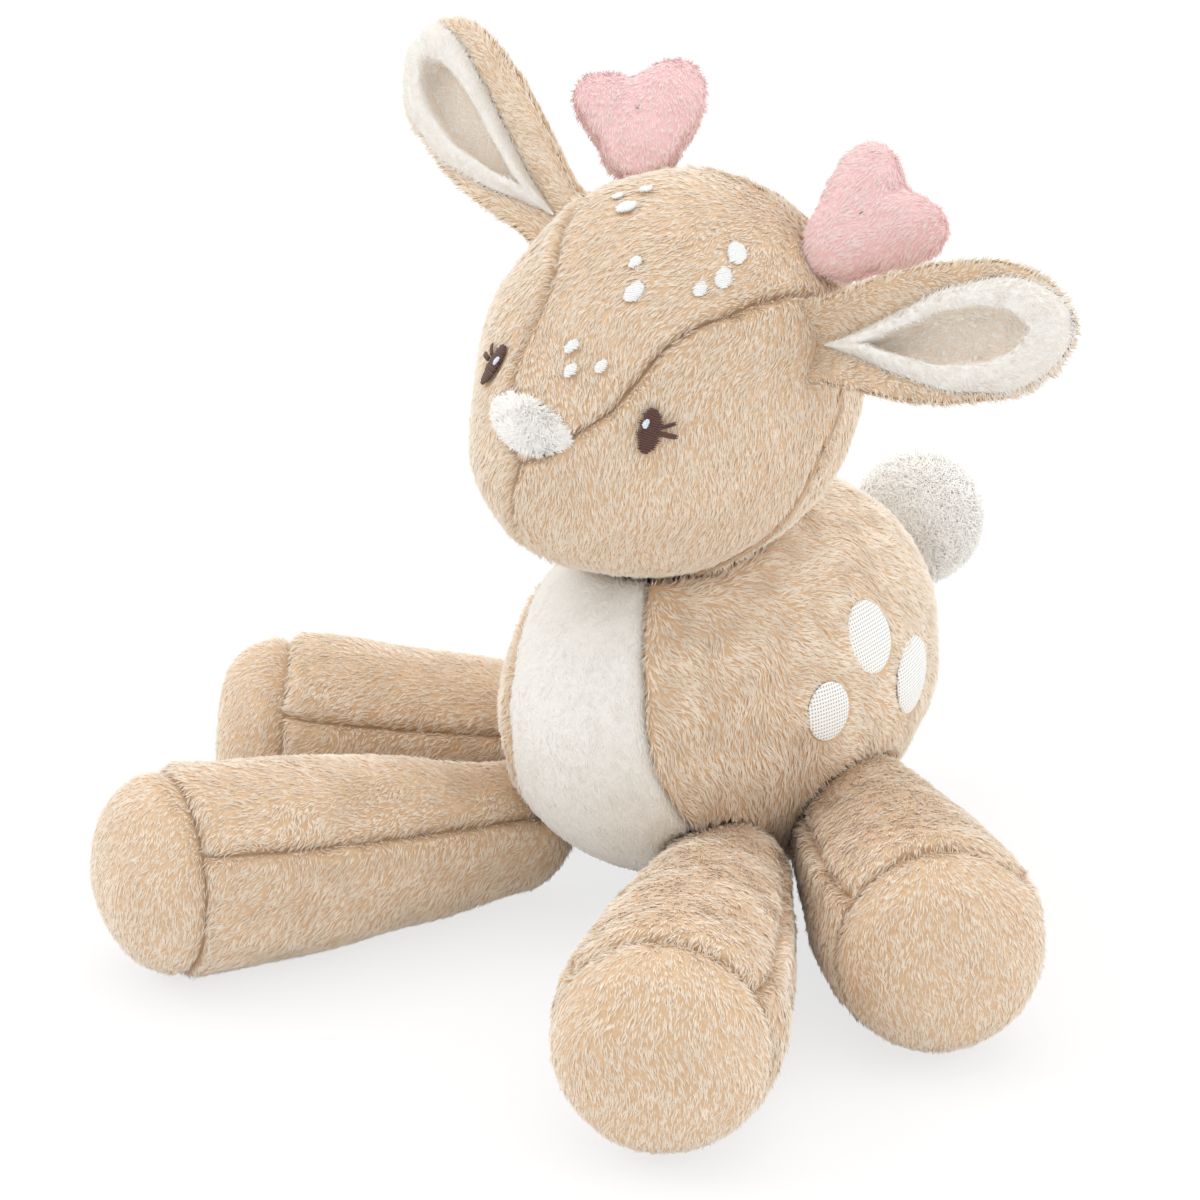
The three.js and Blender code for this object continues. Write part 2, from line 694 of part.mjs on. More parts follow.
function antlerSolid(frame, inset, facets) {
  const ball = new THREE.SphereGeometry(1, facets.sides, facets.rings);
  ball.rotateX(Math.PI / 2);
  const position = ball.attributes.position;
  for (let i = 0; i < position.count; i += 1) {
    const direction = vector(0, 0, 0).fromBufferAttribute(position, i);
    const degrees = THREE.MathUtils.radToDeg(Math.abs(Math.atan2(direction.y, direction.x)));
    const reach = antlerHeight * tableShare(antlerOutlineShares, degrees) - inset;
    const point = framePoint(frame, antlerHeight * antlerMiddleShare + reach * direction.x,
      reach * direction.y, (antlerHalfThickness - inset) * direction.z);
    position.setXYZ(i, ...point);
  }
  const solid = toSolid(ball);
  return solid.volume() > 0 ? solid : turnedOut(ball);
}

function antlerPieces(sideName, mirror) {
  const sewn = headFrame(antlerSeat, antlerAlong, antlerAcross, antlerFacing, mirror);
  const frame = restingFrame(sewn, antlerRests[sideName]);
  const clearance = headSeenFrom(frame.seat, frame.across, antlerSwing);
  const middle = frame.seat.dot(frame.facing);
  const inner = antlerSolid(frame, antlerCloth, antlerFillingFacets);
  const cover = antlerSolid(frame, 0, antlerFacets).subtract(inner).subtract(clearance);
  const front = cover.intersect(halfSpace(frame.facing, middle + seamGap / 2));
  const back = cover.intersect(halfSpace(frame.facing.clone().negate(), seamGap / 2 - middle));
  const stuffing = antlerSolid(frame, antlerCloth + seamGap, antlerFillingFacets).subtract(clearance);
  return [
    piece(`antler_${sideName}_front`, front, plush(pink)),
    piece(`antler_${sideName}_back`, back, plush(pink)),
    piece(`antler_${sideName}_stuffing`, stuffing, filling()),
  ];
}

function fawn() {
  const group = new THREE.Group();
  const sides = [['left', vector(1, 1, 1)], ['right', vector(-1, 1, 1)]];
  group.add(...bodyPieces(), ...headPieces(), ...dotPieces(), nosePiece(), tailPiece());
  group.add(...legs.flatMap(legPieces));
  for (const [sideName, mirror] of sides) {
    group.add(...spotPieces(sideName, mirror), ...eyePieces(sideName, mirror));
    group.add(...earPieces(sideName, mirror), ...antlerPieces(sideName, mirror));
  }
  return group;
}

export default fawn();
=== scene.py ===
# %% [markdown]
# This notebook dresses a stuffed plush fawn that sits on the floor with its four legs
# spread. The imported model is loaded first, as a frame that never moves. Every piece made
# here is fitted to it, in metres, and says which moving part of the toy it goes with.

# %% The frame
import math

import bpy
import numpy as np
from mathutils import Matrix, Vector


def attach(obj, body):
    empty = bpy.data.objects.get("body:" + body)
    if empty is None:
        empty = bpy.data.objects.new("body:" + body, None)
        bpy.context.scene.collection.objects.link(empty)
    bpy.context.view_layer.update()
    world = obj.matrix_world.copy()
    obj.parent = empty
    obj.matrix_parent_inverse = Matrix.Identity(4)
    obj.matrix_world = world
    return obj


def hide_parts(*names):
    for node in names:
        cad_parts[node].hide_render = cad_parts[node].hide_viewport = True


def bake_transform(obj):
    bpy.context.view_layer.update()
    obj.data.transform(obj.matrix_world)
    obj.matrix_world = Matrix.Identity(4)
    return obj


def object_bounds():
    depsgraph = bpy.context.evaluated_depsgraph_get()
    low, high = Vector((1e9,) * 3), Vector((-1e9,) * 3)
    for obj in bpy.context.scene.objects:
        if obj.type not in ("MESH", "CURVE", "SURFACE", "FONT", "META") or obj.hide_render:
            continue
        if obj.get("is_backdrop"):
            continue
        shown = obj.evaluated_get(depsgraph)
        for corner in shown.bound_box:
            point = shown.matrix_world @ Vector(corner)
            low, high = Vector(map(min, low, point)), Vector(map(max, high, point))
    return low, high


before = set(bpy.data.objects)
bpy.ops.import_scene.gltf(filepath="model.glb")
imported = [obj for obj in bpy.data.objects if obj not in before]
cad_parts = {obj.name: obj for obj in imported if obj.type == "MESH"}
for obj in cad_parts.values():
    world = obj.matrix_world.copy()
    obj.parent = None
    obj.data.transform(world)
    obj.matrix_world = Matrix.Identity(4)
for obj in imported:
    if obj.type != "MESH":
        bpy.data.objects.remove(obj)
cad_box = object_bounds()
print("CAD box in metres", np.round(cad_box, 4).tolist())

# %% [markdown]
# A few small tools come first. Lengths are written in millimetres and multiplied by MM,
# because a sewing pattern is drawn in millimetres. All chance comes from generators with
# a fixed seed, so that the toy comes out the same each time.

# %% Small tools
MM = 0.001


def unit(vectors):
    """Each vector divided by its own length."""
    return vectors / np.maximum(np.linalg.norm(vectors, axis=-1, keepdims=True), 1e-12)


def turning(axis, degrees):
    """Rotation about the x, y or z axis, as a 3 by 3 matrix."""
    c, s = math.cos(math.radians(degrees)), math.sin(math.radians(degrees))
    a, b = {"x": (1, 2), "y": (2, 0), "z": (0, 1)}[axis]
    matrix = np.eye(3)
    matrix[a, a] = matrix[b, b] = c
    matrix[a, b] = -s
    matrix[b, a] = s
    return matrix


def table(pairs, at):
    """Straight-line reading between the pairs (place, value) of a table."""
    places, values = np.array(pairs, float).T
    return np.interp(at, places, values)


def drift(points, wave, seed):
    """Smooth values of about -1 to 1 that change over roughly one wave length:
    the mean of seven sine waves that run in directions of their own."""
    pick = np.random.default_rng(seed)
    ways = unit(pick.normal(size=(7, 3))) * pick.uniform(0.7, 1.4, (7, 1))
    phase = points @ (ways * 2 * math.pi / wave).T + pick.uniform(0, 2 * math.pi, 7)
    return np.sin(phase).mean(-1) * 1.8


def crowded(count, start=True, end=True, share=0.6):
    """Numbers from 0 to 1 that lie closer together at the ends that have a seam."""
    s = np.linspace(0, 1, count)
    if start and end:
        return s - share * np.sin(2 * math.pi * s) / (2 * math.pi)
    if start:
        return 1 + (s - 1) - share * np.sin(math.pi * s) / math.pi
    return s


# %% [markdown]
# Every cloth panel is a grid of points worked out as one array. The grid gets its normals
# from the cross product of its two directions, a second layer one cloth thickness inside,
# and a rim where the panel ends, so it is a closed, thin solid such as real cloth is.

# %% From a grid to a mesh
def grid_normals(points, inside, wrap_rows=False):
    """Unit cross product of the grid's two directions, facing away from a point inside."""
    rows = np.gradient(points, axis=0)
    if wrap_rows:
        rows[0] = rows[-1] = (points[1] - points[-2]) / 2
    normals = np.cross(rows, np.gradient(points, axis=1))
    for layer, edge in ((0, 0), (0, -1), (1, 0), (1, -1)):
        line = np.take(points, edge, layer)
        if np.ptp(line, axis=0).max() < 1e-7:
            near = np.take(normals, 1 if edge == 0 else -2, layer)
            total = near.sum(0)
            if layer == 0:
                normals[edge] = total
            else:
                normals[:, edge] = total
    normals = unit(normals)
    facing = np.sign((normals * (points - inside)).sum())
    return normals * facing, facing


def grid_triangles(rows, columns):
    """Two triangles for each cell of a grid whose points are numbered row by row."""
    i, j = np.meshgrid(np.arange(rows - 1), np.arange(columns - 1), indexing="ij")
    a = (i * columns + j).ravel()
    b, c, d = a + columns, a + columns + 1, a + 1
    return np.concatenate([np.stack([a, b, c], 1), np.stack([a, c, d], 1)])


def ribbon(outer, inner):
    """Triangles between two equal lines of point numbers."""
    a, b = outer[:-1], outer[1:]
    c, d = inner[:-1], inner[1:]
    return np.concatenate([np.stack([a, c, b], 1), np.stack([b, c, d], 1)])


def welded(points, triangles, step=2e-7):
    """Merges points that lie in the same place and drops triangles without a width."""
    key = np.round(points / step).astype(np.int64)
    _, first, index = np.unique(key, axis=0, return_index=True, return_inverse=True)
    triangles = index.reshape(-1)[triangles]
    a, b, c = triangles.T
    return points[first], triangles[(a != b) & (b != c) & (c != a)]


def two_sheets(front, back, rims=(True, True, True, True)):
    """Two equal grids, the second turned round, joined along the wanted rims: the first and
    last row, then the first and last column."""
    rows, columns = front.shape[:2]
    total = rows * columns
    number = np.arange(total).reshape(rows, columns)
    outer = grid_triangles(rows, columns)
    parts = [outer, outer[:, ::-1] + total]
    lines = (number[0], number[-1][::-1], number[::-1, 0], number[:, -1])
    parts += [ribbon(line, line + total) for line, wanted in zip(lines, rims) if wanted]
    points = np.concatenate([front.reshape(-1, 3), back.reshape(-1, 3)])
    return points, np.concatenate(parts)


def shell(points, normals, facing, thickness, rims):
    """A closed skin: a grid, and the same grid one thickness further in."""
    points, triangles = two_sheets(points, points - normals * thickness, rims)
    return welded(points, triangles[:, ::-1] if facing < 0 else triangles)


def wrapped_skin(points, inside):
    """Skin of a grid whose first and last row meet, facing away from a point inside."""
    normals, facing = grid_normals(points, inside, True)
    return {"points": points, "normals": normals, "facing": facing, "wrap": True}


def make_piece(name, points, triangles, finish):
    """A mesh object with these points and triangles, at the origin."""
    mesh = bpy.data.meshes.new(name)
    mesh.vertices.add(len(points))
    mesh.vertices.foreach_set("co", np.ascontiguousarray(points, np.float32).ravel())
    mesh.loops.add(triangles.size)
    mesh.loops.foreach_set("vertex_index", np.ascontiguousarray(triangles, np.int32).ravel())
    mesh.polygons.add(len(triangles))
    mesh.polygons.foreach_set("loop_start", np.arange(len(triangles), dtype=np.int32) * 3)
    mesh.update(calc_edges=True)
    mesh.polygons.foreach_set("use_smooth", np.full(len(triangles), True))
    mesh.materials.append(finish)
    piece = bpy.data.objects.new(name, mesh)
    bpy.context.scene.collection.objects.link(piece)
    return piece


# %% [markdown]
# Shader maths reads best as plain sums. The class Wire stands for one output of a node,
# and adding, subtracting or multiplying wires adds the Math nodes. Finish makes any other
# node with one method. Colours are written as a painter sees them on a screen and are
# turned into Blender's light values by tint.

# %% Writing shaders as sums
def tint(red, green, blue):
    """Screen colour to linear light: ((c + 0.055) / 1.055) to the power 2.4."""
    c = np.array([red, green, blue], float)
    linear = np.where(c <= 0.04045, c / 12.92, ((c + 0.055) / 1.055) ** 2.4)
    return (*linear.tolist(), 1.0)


class Wire:
    """One output of a shader node, with + - * as Math nodes."""

    def __init__(self, finish, output):
        self.finish = finish
        self.output = output

    def maths(self, operation, *others):
        inputs = dict(enumerate((self, *others)))
        return self.finish.node("ShaderNodeMath", {"operation": operation}, inputs)

    def __add__(self, other):
        return self.maths("ADD", other)

    def __sub__(self, other):
        return self.maths("SUBTRACT", other)

    def __rsub__(self, other):
        return self.finish.node("ShaderNodeMath", {"operation": "SUBTRACT"}, {0: other, 1: self})

    def __mul__(self, other):
        return self.maths("MULTIPLY", other)

    def sine(self):
        return self.maths("SINE")

    def kept(self):
        return self.finish.node("ShaderNodeClamp", {}, {"Value": self})

    __radd__ = __add__
    __rmul__ = __mul__


class Finish:
    """A material with one Principled shader whose steady values are set by name."""

    def __init__(self, name, **steady):
        self.material = bpy.data.materials.new(name)
        self.material.use_nodes = True
        self.tree = self.material.node_tree
        self.shader = self.tree.nodes["Principled BSDF"]
        for socket, value in steady.items():
            self.shader.inputs[socket.replace("_", " ")].default_value = value

    def feed(self, target, value):
        if isinstance(value, Wire):
            self.tree.links.new(value.output, target)
        else:
            target.default_value = value

    def node(self, kind, settings=None, values=None, output=0):
        made = self.tree.nodes.new(kind)
        for key, value in (settings or {}).items():
            if key == "stops":
                ramp = made.color_ramp.elements
                while len(ramp) < len(value):
                    ramp.new(0.5)
                for stop, (place, colour) in zip(ramp, value):
                    stop.position = place
                    stop.color = colour
            else:
                setattr(made, key, value)
        for key, value in (values or {}).items():
            self.feed(made.inputs[key], value)
        return Wire(self, made.outputs[output])

    def place(self):
        return self.node("ShaderNodeTexCoord", output="Object")

    def flat(self, name):
        return self.node("ShaderNodeUVMap", {"uv_map": name})

    def split(self, vector):
        return [self.node("ShaderNodeSeparateXYZ", {}, {0: vector}, output=i) for i in range(3)]

    def noise(self, place, scale, detail=2.0, roughness=0.5):
        values = {"Vector": place, "Scale": scale, "Detail": detail, "Roughness": roughness}
        return self.node("ShaderNodeTexNoise", {}, values)

    def ramp(self, value, stops):
        return self.node("ShaderNodeValToRGB", {"stops": stops}, {"Fac": value})

    def mixed(self, share, first, second, blend="MIX"):
        settings = {"data_type": "RGBA", "blend_type": blend}
        return self.node("ShaderNodeMix", settings, {0: share, 6: first, 7: second}, output=2)

    def colour(self, value):
        self.feed(self.shader.inputs["Base Color"], value)

    def relief(self, height, distance, strength=1.0):
        values = {"Height": height, "Distance": distance, "Strength": strength}
        self.feed(self.shader.inputs["Normal"], self.node("ShaderNodeBump", {}, values))


# %% [markdown]
# Plush is a knitted backing with cut threads that stand out of it. It is made here in two
# layers. The backing is the panel's own mesh, in the colour that shows between threads.
# The threads are thousands of tiny closed spikes, each darker at the root and paler at
# the tip. A spike carries two numbers in a flat map: how light this thread is, across,
# and how far along the thread a point lies, upwards. One finish then colours them all.

# %% Plush finishes
def backing_finish(name, deep, pale):
    """Colour of the cloth between the threads: fine noise between two tints, and painted shade
    along the seams, where the piece's seam value is 1, standing for the shadow in the groove."""
    f = Finish(name, Roughness=0.95, Sheen_Weight=0.15, Sheen_Roughness=0.6)
    grain = f.noise(f.place(), 900.0, 3.0, 0.7)
    patches = f.noise(f.place(), 60.0, 2.0)
    share = (grain * 1.3 + patches * 0.5 - 0.45).kept()
    seam = f.node("ShaderNodeAttribute", {"attribute_name": "Seam"}, output="Fac")
    cloth_tint = f.mixed(share, tint(*deep), tint(*pale))
    # Painted shade: along a seam the cloth darkens towards 0.8 of the deep tint, for the groove's
    # shadow.
    f.colour(f.mixed(seam * 0.75, cloth_tint, tint(*(0.8 * c for c in deep))))
    f.relief(grain, 0.4 * MM)
    return f.material


def thread_finish(name, root, middle, tip, dark, light):
    """Colour of the spikes: root, middle and tip tints along the thread, then darker or
    lighter by the thread's own tone."""
    f = Finish(name, Roughness=0.85, Sheen_Weight=0.3, Sheen_Roughness=0.5)
    tone, along, _ = f.split(f.flat("OFBake"))
    base = f.ramp(along, [(0.0, tint(*root)), (0.4, tint(*middle)), (1.0, tint(*tip))])
    warm_dark = (dark, dark * 0.96, dark * 0.91, 1)
    shade = f.ramp(tone, [(0.0, warm_dark), (1.0, (light, light, light, 1))])
    f.colour(f.mixed(1.0, base, shade, "MULTIPLY"))
    return f.material


tan_backing = backing_finish("tan_backing", (0.78, 0.63, 0.475), (0.90, 0.80, 0.68))
tan_threads = thread_finish(
    "tan_threads", (0.86, 0.735, 0.60), (0.96, 0.895, 0.81), (0.995, 0.965, 0.92), 0.82, 1.0
)
white_backing = backing_finish("white_backing", (0.90, 0.885, 0.86), (0.96, 0.955, 0.94))
white_threads = thread_finish(
    "white_threads", (0.92, 0.91, 0.885), (0.955, 0.95, 0.93), (0.975, 0.97, 0.955), 0.95, 1.0
)
pink_backing = backing_finish("pink_backing", (0.90, 0.70, 0.70), (0.95, 0.81, 0.81))
pink_threads = thread_finish(
    "pink_threads", (0.95, 0.79, 0.79), (0.98, 0.89, 0.885), (0.99, 0.925, 0.92), 0.94, 1.0
)
print("plush finishes made")

# %% [markdown]
# The pile itself: a spike starts a little under the backing, lies over in the direction in
# which the plush is combed, and ends in one point. Its section is a low three-sided ridge,
# so a spike with one ring has only four triangles. Long pile gets a second ring, to bend.

# Real threads let light through, so a thread is shaded mostly as the cloth under it is. Its
# upper faces keep the cloth's normal, turned to their own side by SOFTNESS, and its lower
# face, which is seen at an outline, faces along the thread.

# %% Growing the pile
SOFTNESS = 0.6
FLOOR_CLEAR = 0.05 * MM


def spikes(roots, normals, flow, length, width, lift, curl, tone, rings):
    """Point k along a thread, s = k / rings: root + length (s cos(lift) flow
    + s sin(lift) normal + curl s s side). The ridge narrows by 1 - 0.75 s."""
    count = len(roots)
    side = np.cross(flow, normals)
    corners = []
    for k in range(rings):
        s = k / rings
        middle = roots + length[:, None] * (
            s * (np.cos(lift)[:, None] * flow + np.sin(lift)[:, None] * normals)
            + (curl * s * s)[:, None] * side
        )
        wide = (width * (1 - 0.75 * s) / 2)[:, None]
        corners += [middle - wide * side, middle + wide * side, middle + wide * 0.9 * normals]
    corners.append(roots + length[:, None] * (
        np.cos(lift)[:, None] * flow + np.sin(lift)[:, None] * normals + curl[:, None] * side
    ))
    per = 3 * rings + 1
    points = np.stack(corners, 1).reshape(-1, 3)
    left, right = unit(normals - SOFTNESS * side), unit(normals + SOFTNESS * side)
    under, back = unit(0.8 * flow - 0.25 * normals), unit(0.3 * normals - 0.8 * flow)
    faces = [(0, 1, 2)]
    places = [((-1, 0.0), (1, 0.0), (0, 0.03))]
    facings = [(back, back, back)]
    sides = ((0, 2, left, normals), (2, 1, normals, right), (1, 0, under, under))
    for k in range(rings - 1):
        low, high = k / rings, (k + 1) / rings
        for a, b, at_a, at_b in sides:
            p, q = 3 * k + a, 3 * k + b
            faces += [(p, q, q + 3), (p, q + 3, p + 3)]
            places += [((-1, low), (1, low), (1, high)), ((-1, low), (1, high), (-1, high))]
            facings += [(at_a, at_b, at_b), (at_a, at_b, at_a)]
    k = rings - 1
    for a, b, at_a, at_b in sides:
        faces.append((3 * k + a, 3 * k + b, per - 1))
        places.append(((-1, k / rings), (1, k / rings), (0, 1.0)))
        facings.append((at_a, at_b, unit(at_a + at_b)))
    faces = np.array(faces)
    places = np.array(places, float)
    triangles = (np.arange(count)[:, None, None] * per + faces[None]).reshape(-1, 3)
    flat = np.empty((count, *places.shape))
    flat[..., 0] = (0.03 + 0.94 * tone)[:, None, None] + places[None, ..., 0] * 0.02
    flat[..., 1] = 0.02 + 0.96 * places[None, ..., 1]
    facings = np.stack([each for face in facings for each in face], 1)
    return points, triangles, flat.reshape(-1, 2), facings.reshape(-1, 3)


# %% [markdown]
# Threads don't stand evenly: they cling together in small tufts, and the darker cloth
# shows in the slits between the tufts. Each thread leans towards the tip of the tuft
# whose middle is nearest to its root.

# %% Tufts
def nearest(points, centres, chunk=4096):
    """Number of the nearest centre for each point, from |a - b|^2 = a^2 + b^2 - 2 a b."""
    middle = points.mean(0)
    far = ((centres - middle) / MM).astype(np.float32)
    squares = (far**2).sum(1)
    found = []
    for k in range(0, len(points), chunk):
        near = ((points[k : k + chunk] - middle) / MM).astype(np.float32)
        found.append(np.argmin(squares - 2 * (near @ far.T), axis=1))
    return np.concatenate(found)


# %% [markdown]
# Each thread has a tone from 0, dark, to 1, light: a mean, plus what its clump, the patch of
# cloth, the thread itself and its tuft add. The waves of this drift are in millimetres.

# %% The pile
TONE, CLUMP_TONE, THREAD_TONE, TUFT_TONE = 0.65, 0.09, 0.14, 0.09
SWIRL_WAVE, CLUMP_WAVE, PATCH_WAVE = 22, 5.5, 13


def pile(name, skin, comb, finish, per_mm2=1.6, length=2.6, width=0.5, lift=17, stray=12,
         swirl=30, rings=1, keep=None, seed=1, sink=0.25, curl=0.12, tufts=0.4, gather=0.35,
         patches=0.1, puff=None):
    """Spikes spread evenly over a skin's area. comb(points) is the direction in which the
    plush is brushed; drift turns it about the normal by up to swirl degrees, and near a
    seam the threads turn away from it. gather is how far tips go to their tuft's tip, and
    puff(points) is how many degrees threads stand up beside another piece. A skin's room is
    the chance that a thread grows at a point, and keep(points) has the last word. In a cell that
    narrows from a to b, t = u (a + b) / (a + (a^2 + u (b^2 - a^2))^0.5) spreads evenly."""
    pick = np.random.default_rng(seed)
    points, normals = skin["points"], skin["normals"]
    down, right = points[1:, :-1] - points[:-1, :-1], points[:-1, 1:] - points[:-1, :-1]
    down2, right2 = points[1:, 1:] - points[:-1, 1:], points[1:, 1:] - points[1:, :-1]
    areas = (np.linalg.norm(np.cross(down, right), axis=-1)
             + np.linalg.norm(np.cross(down2, right2), axis=-1)) / 2
    count = int(areas.sum() / MM**2 * per_mm2)
    cell = pick.choice(areas.size, count, p=areas.ravel() / areas.sum())
    i, j = np.divmod(cell, areas.shape[1])
    s, t = pick.random((2, count, 1))
    first, last = (np.linalg.norm(v, axis=-1)[i, j][:, None] for v in (down, down2))
    t = t * (first + last) / (first + np.sqrt(first**2 + t * (last**2 - first**2)) + 1e-12)

    def read(grid):
        low = grid[i, j] * (1 - t) + grid[i, j + 1] * t
        high = grid[i + 1, j] * (1 - t) + grid[i + 1, j + 1] * t
        return low * (1 - s) + high * s

    roots, out = read(points), unit(read(normals))
    away = read(skin["away"]) if "away" in skin else 0 * roots
    chosen = np.ones(count, bool)
    if "room" in skin:
        chosen &= read(skin["room"][..., None])[:, 0] > pick.random(count)
    if keep is not None:
        chosen &= keep(roots)
    roots, out, away = roots[chosen], out[chosen], away[chosen]
    count = len(roots)
    flow = unit(comb(roots)) + 1.2 * away
    flow = unit(flow - (flow * out).sum(-1, keepdims=True) * out)
    side = np.cross(flow, out)
    turn = np.radians(swirl * drift(roots, SWIRL_WAVE * MM, seed + 11)
                      + swirl * 0.6 * drift(roots, SWIRL_WAVE * 0.35 * MM, seed + 12)
                      + pick.normal(0, stray, count))[:, None]
    flow = np.cos(turn) * flow + np.sin(turn) * side
    clump = drift(roots, CLUMP_WAVE * MM, seed + 13)
    puffed = 16 * np.linalg.norm(away, axis=-1) + (puff(roots) if puff else 0)
    lifts = np.radians(np.clip(lift + puffed + 6 * clump + pick.normal(0, 5, count), 5, 80))
    lengths = length * MM * pick.uniform(0.75, 1.2, count)
    widths = width * MM * pick.uniform(0.75, 1.25, count)
    curls = curl * pick.normal(0, 1, count)
    roots = roots - out * sink * MM
    tone = TONE + CLUMP_TONE * clump + pick.normal(0, THREAD_TONE, count)
    tone = tone + patches * drift(roots, PATCH_WAVE * MM, seed + 14)
    if gather:
        leaders = pick.permutation(count)[: max(int(count / per_mm2 * tufts), 1)]
        tuft = leaders[nearest(roots, roots[leaders])]
        own = np.cos(lifts)[:, None] * flow + np.sin(lifts)[:, None] * out
        way = lengths[:, None] * own
        aimed = way + gather * (roots[tuft] + way[tuft] - roots - way)
        lengths = np.linalg.norm(aimed, axis=-1)
        height = (aimed * out).sum(-1)
        flow = unit(aimed - height[:, None] * out)
        lifts = np.arcsin(np.clip(height / lengths, 0.03, 0.98))
        tone = tone + TUFT_TONE * pick.normal(0, 1, count)[tuft]
    tone = np.clip(tone, 0, 1)
    made = spikes(roots, out, flow, lengths, widths, lifts, curls, tone, rings)
    made[0][:, 2] = np.maximum(made[0][:, 2], FLOOR_CLEAR)
    piece = make_piece(name, made[0], made[1], finish)
    layer = piece.data.uv_layers.new(name="OFBake")
    layer.data.foreach_set("uv", made[2].astype(np.float32).ravel())
    piece.data.normals_split_custom_set(made[3])
    print(name, count, "threads")
    return piece


# %% [markdown]
# The head and the body are stuffed until they are round, so each is an egg with a few
# swells. A point on it is reached by two angles: up, which turns in the plane that halves
# the toy, and side, which leads from that plane to the flank. All seams of the pattern are
# curves side = f(up), so each panel is a neat grid between two seams.

# %% The stuffed forms
class Form:
    """Egg with swells: distance = ellipsoid * (1 + sum of height exp(-(angle / spread)^2 / 2))."""

    def __init__(self, centre, radii, swells, tip=0.0, turn=0.0):
        self.centre = np.array(centre) * MM
        self.radii = np.array(radii) * MM
        self.turn = turning("z", turn) @ turning("y", tip)
        self.swells = [(unit(np.array(d, float)), h, math.radians(w)) for d, h, w in swells]

    def reach(self, toward):
        """Distance of the surface from the centre, in the form's own directions."""
        toward = unit(toward)
        swelling = 1.0
        for way, height, spread in self.swells:
            angle = np.arccos(np.clip(toward @ way, -1, 1))
            swelling = swelling + height * np.exp(-((angle / spread) ** 2) / 2)
        return swelling / np.linalg.norm(toward / self.radii, axis=-1)

    def at(self, toward, outset=0.0):
        """Point of the surface in this direction, in the toy's frame."""
        toward = unit(toward)
        return self.centre + (toward * (self.reach(toward) + outset)[..., None]) @ self.turn.T

    def girth(self, up):
        """Distance from the centre to the plain egg at this angle, in the halving plane."""
        return 1 / np.hypot(np.cos(up) / self.radii[1], np.sin(up) / self.radii[2])

    def toward(self, up, side):
        """Direction of a point at the two angles."""
        flat = self.girth(up) * np.cos(side)
        x = self.radii[0] * np.sin(side)
        return np.stack([x, -flat * np.cos(up), flat * np.sin(up)], -1)

    def depth(self, points, turned=0.0):
        """How far points lie inside the form, along the way to its centre."""
        own = (points - self.centre) @ (turning("z", turned) @ self.turn)
        return self.reach(own) - np.linalg.norm(own, axis=-1)


body = Form(
    (0, 0, 59.5), (54, 88, 60), [((0, -0.75, 0.66), 0.06, 26), ((0, -0.72, -0.69), -0.06, 22)]
)
head = Form(
    (0, -31.5, 160.5), (53, 57, 58),
    [((0, -0.955, -0.298), 0.243, 21), ((0, -0.807, 0.591), -0.113, 26)], 13.5, -3.9,
)
print("body length", round(float(body.radii[1] * 2 / MM)), "mm, head width 106 mm")

# %% [markdown]
# A leg is a stuffed tube: a round root that is sewn into the body, a shaft that widens to
# the foot, and a domed sole. It lies on the floor and swings about an upright axis at the
# hip. The table keeps each leg's side, hip, splay and how far it swings in and out.

# %% The legs' measures
LEG_LENGTH, ROOT_RADIUS, FOOT_RADIUS = 103 * MM, 19.6 * MM, 30.9 * MM
SOLE_DOME, DOME_POWER, RIM_SHARE, SEAM_SHARE = 21 * MM, 2.3, 0.93, 0.52
# The axis rises by (foot radius - gap above the floor - hip height) / leg length.
LEG_RISE = math.degrees(math.asin((30.9 - 0.5 - 24) / 103))
LEGS = {
    "front_left": (1, (36.5, -60, 24), 22.3, 18, 1),
    "front_right": (-1, (-36.5, -60, 24), 32.1, 30, 8),
    "hind_left": (1, (40, 5, 24), 42.5, 0, 46),
    "hind_right": (-1, (-40, 5, 24), 56, 10, 34),
}


def leg_radius(along):
    """Root radius to foot radius by a quarter sine wave, then in to the sole's rim."""
    share = np.clip(along / LEG_LENGTH, 0, 0.94)
    shaft = ROOT_RADIUS + (FOOT_RADIUS - ROOT_RADIUS) * np.sin(math.pi / 2 * share)
    past = np.clip((along / LEG_LENGTH - 0.94) / 0.06, 0, 1)
    return shaft + (FOOT_RADIUS * RIM_SHARE - shaft) * past


def leg_turn(name, swing=0.0):
    side, _, splay, _, _ = LEGS[name]
    return turning("z", side * (splay + swing)) @ turning("x", -LEG_RISE)


def leg_hip(name):
    return np.array(LEGS[name][1]) * MM


def leg_depth(points, name, swing):
    """How far points lie inside the leg at this swing: radius less distance from its axis."""
    own = (points - leg_hip(name)) @ leg_turn(name, swing)
    along = -own[:, 1]
    shaft = leg_radius(along) - np.hypot(own[:, 0], own[:, 2])
    return np.where(along < 0, ROOT_RADIUS - np.linalg.norm(own, axis=-1), shaft)


# %% [markdown]
# Soft cloth gives way where something presses on it. The body's skin is moved towards the
# middle of the filling until it is clear of the head and of every place a leg can reach,
# and it keeps a rounded shoulder round each dimple, as stuffed cloth does beside a seam.

# %% Room for the head and the legs
LEG_GAP, HEAD_GAP, HEAD_SWING = 0.1 * MM, -0.6 * MM, 20
SWINGS = [
    (name, swing)
    for name, (_, _, _, inward, outward) in LEGS.items()
    for swing in np.unique([-inward, -inward / 2, 0, outward / 3, outward * 2 / 3, outward])
]


def crowding(points):
    """The deepest that anything beside the body reaches over each point."""
    deepest = head.depth(points) + HEAD_GAP
    for turned in (-HEAD_SWING, HEAD_SWING):
        deepest = np.maximum(deepest, head.depth(points, turned) + HEAD_GAP)
    for name, swing in SWINGS:
        ease = 0.0 if swing == 0 else 1.2 * MM
        deepest = np.maximum(deepest, leg_depth(points, name, swing) + LEG_GAP - ease)
    return deepest


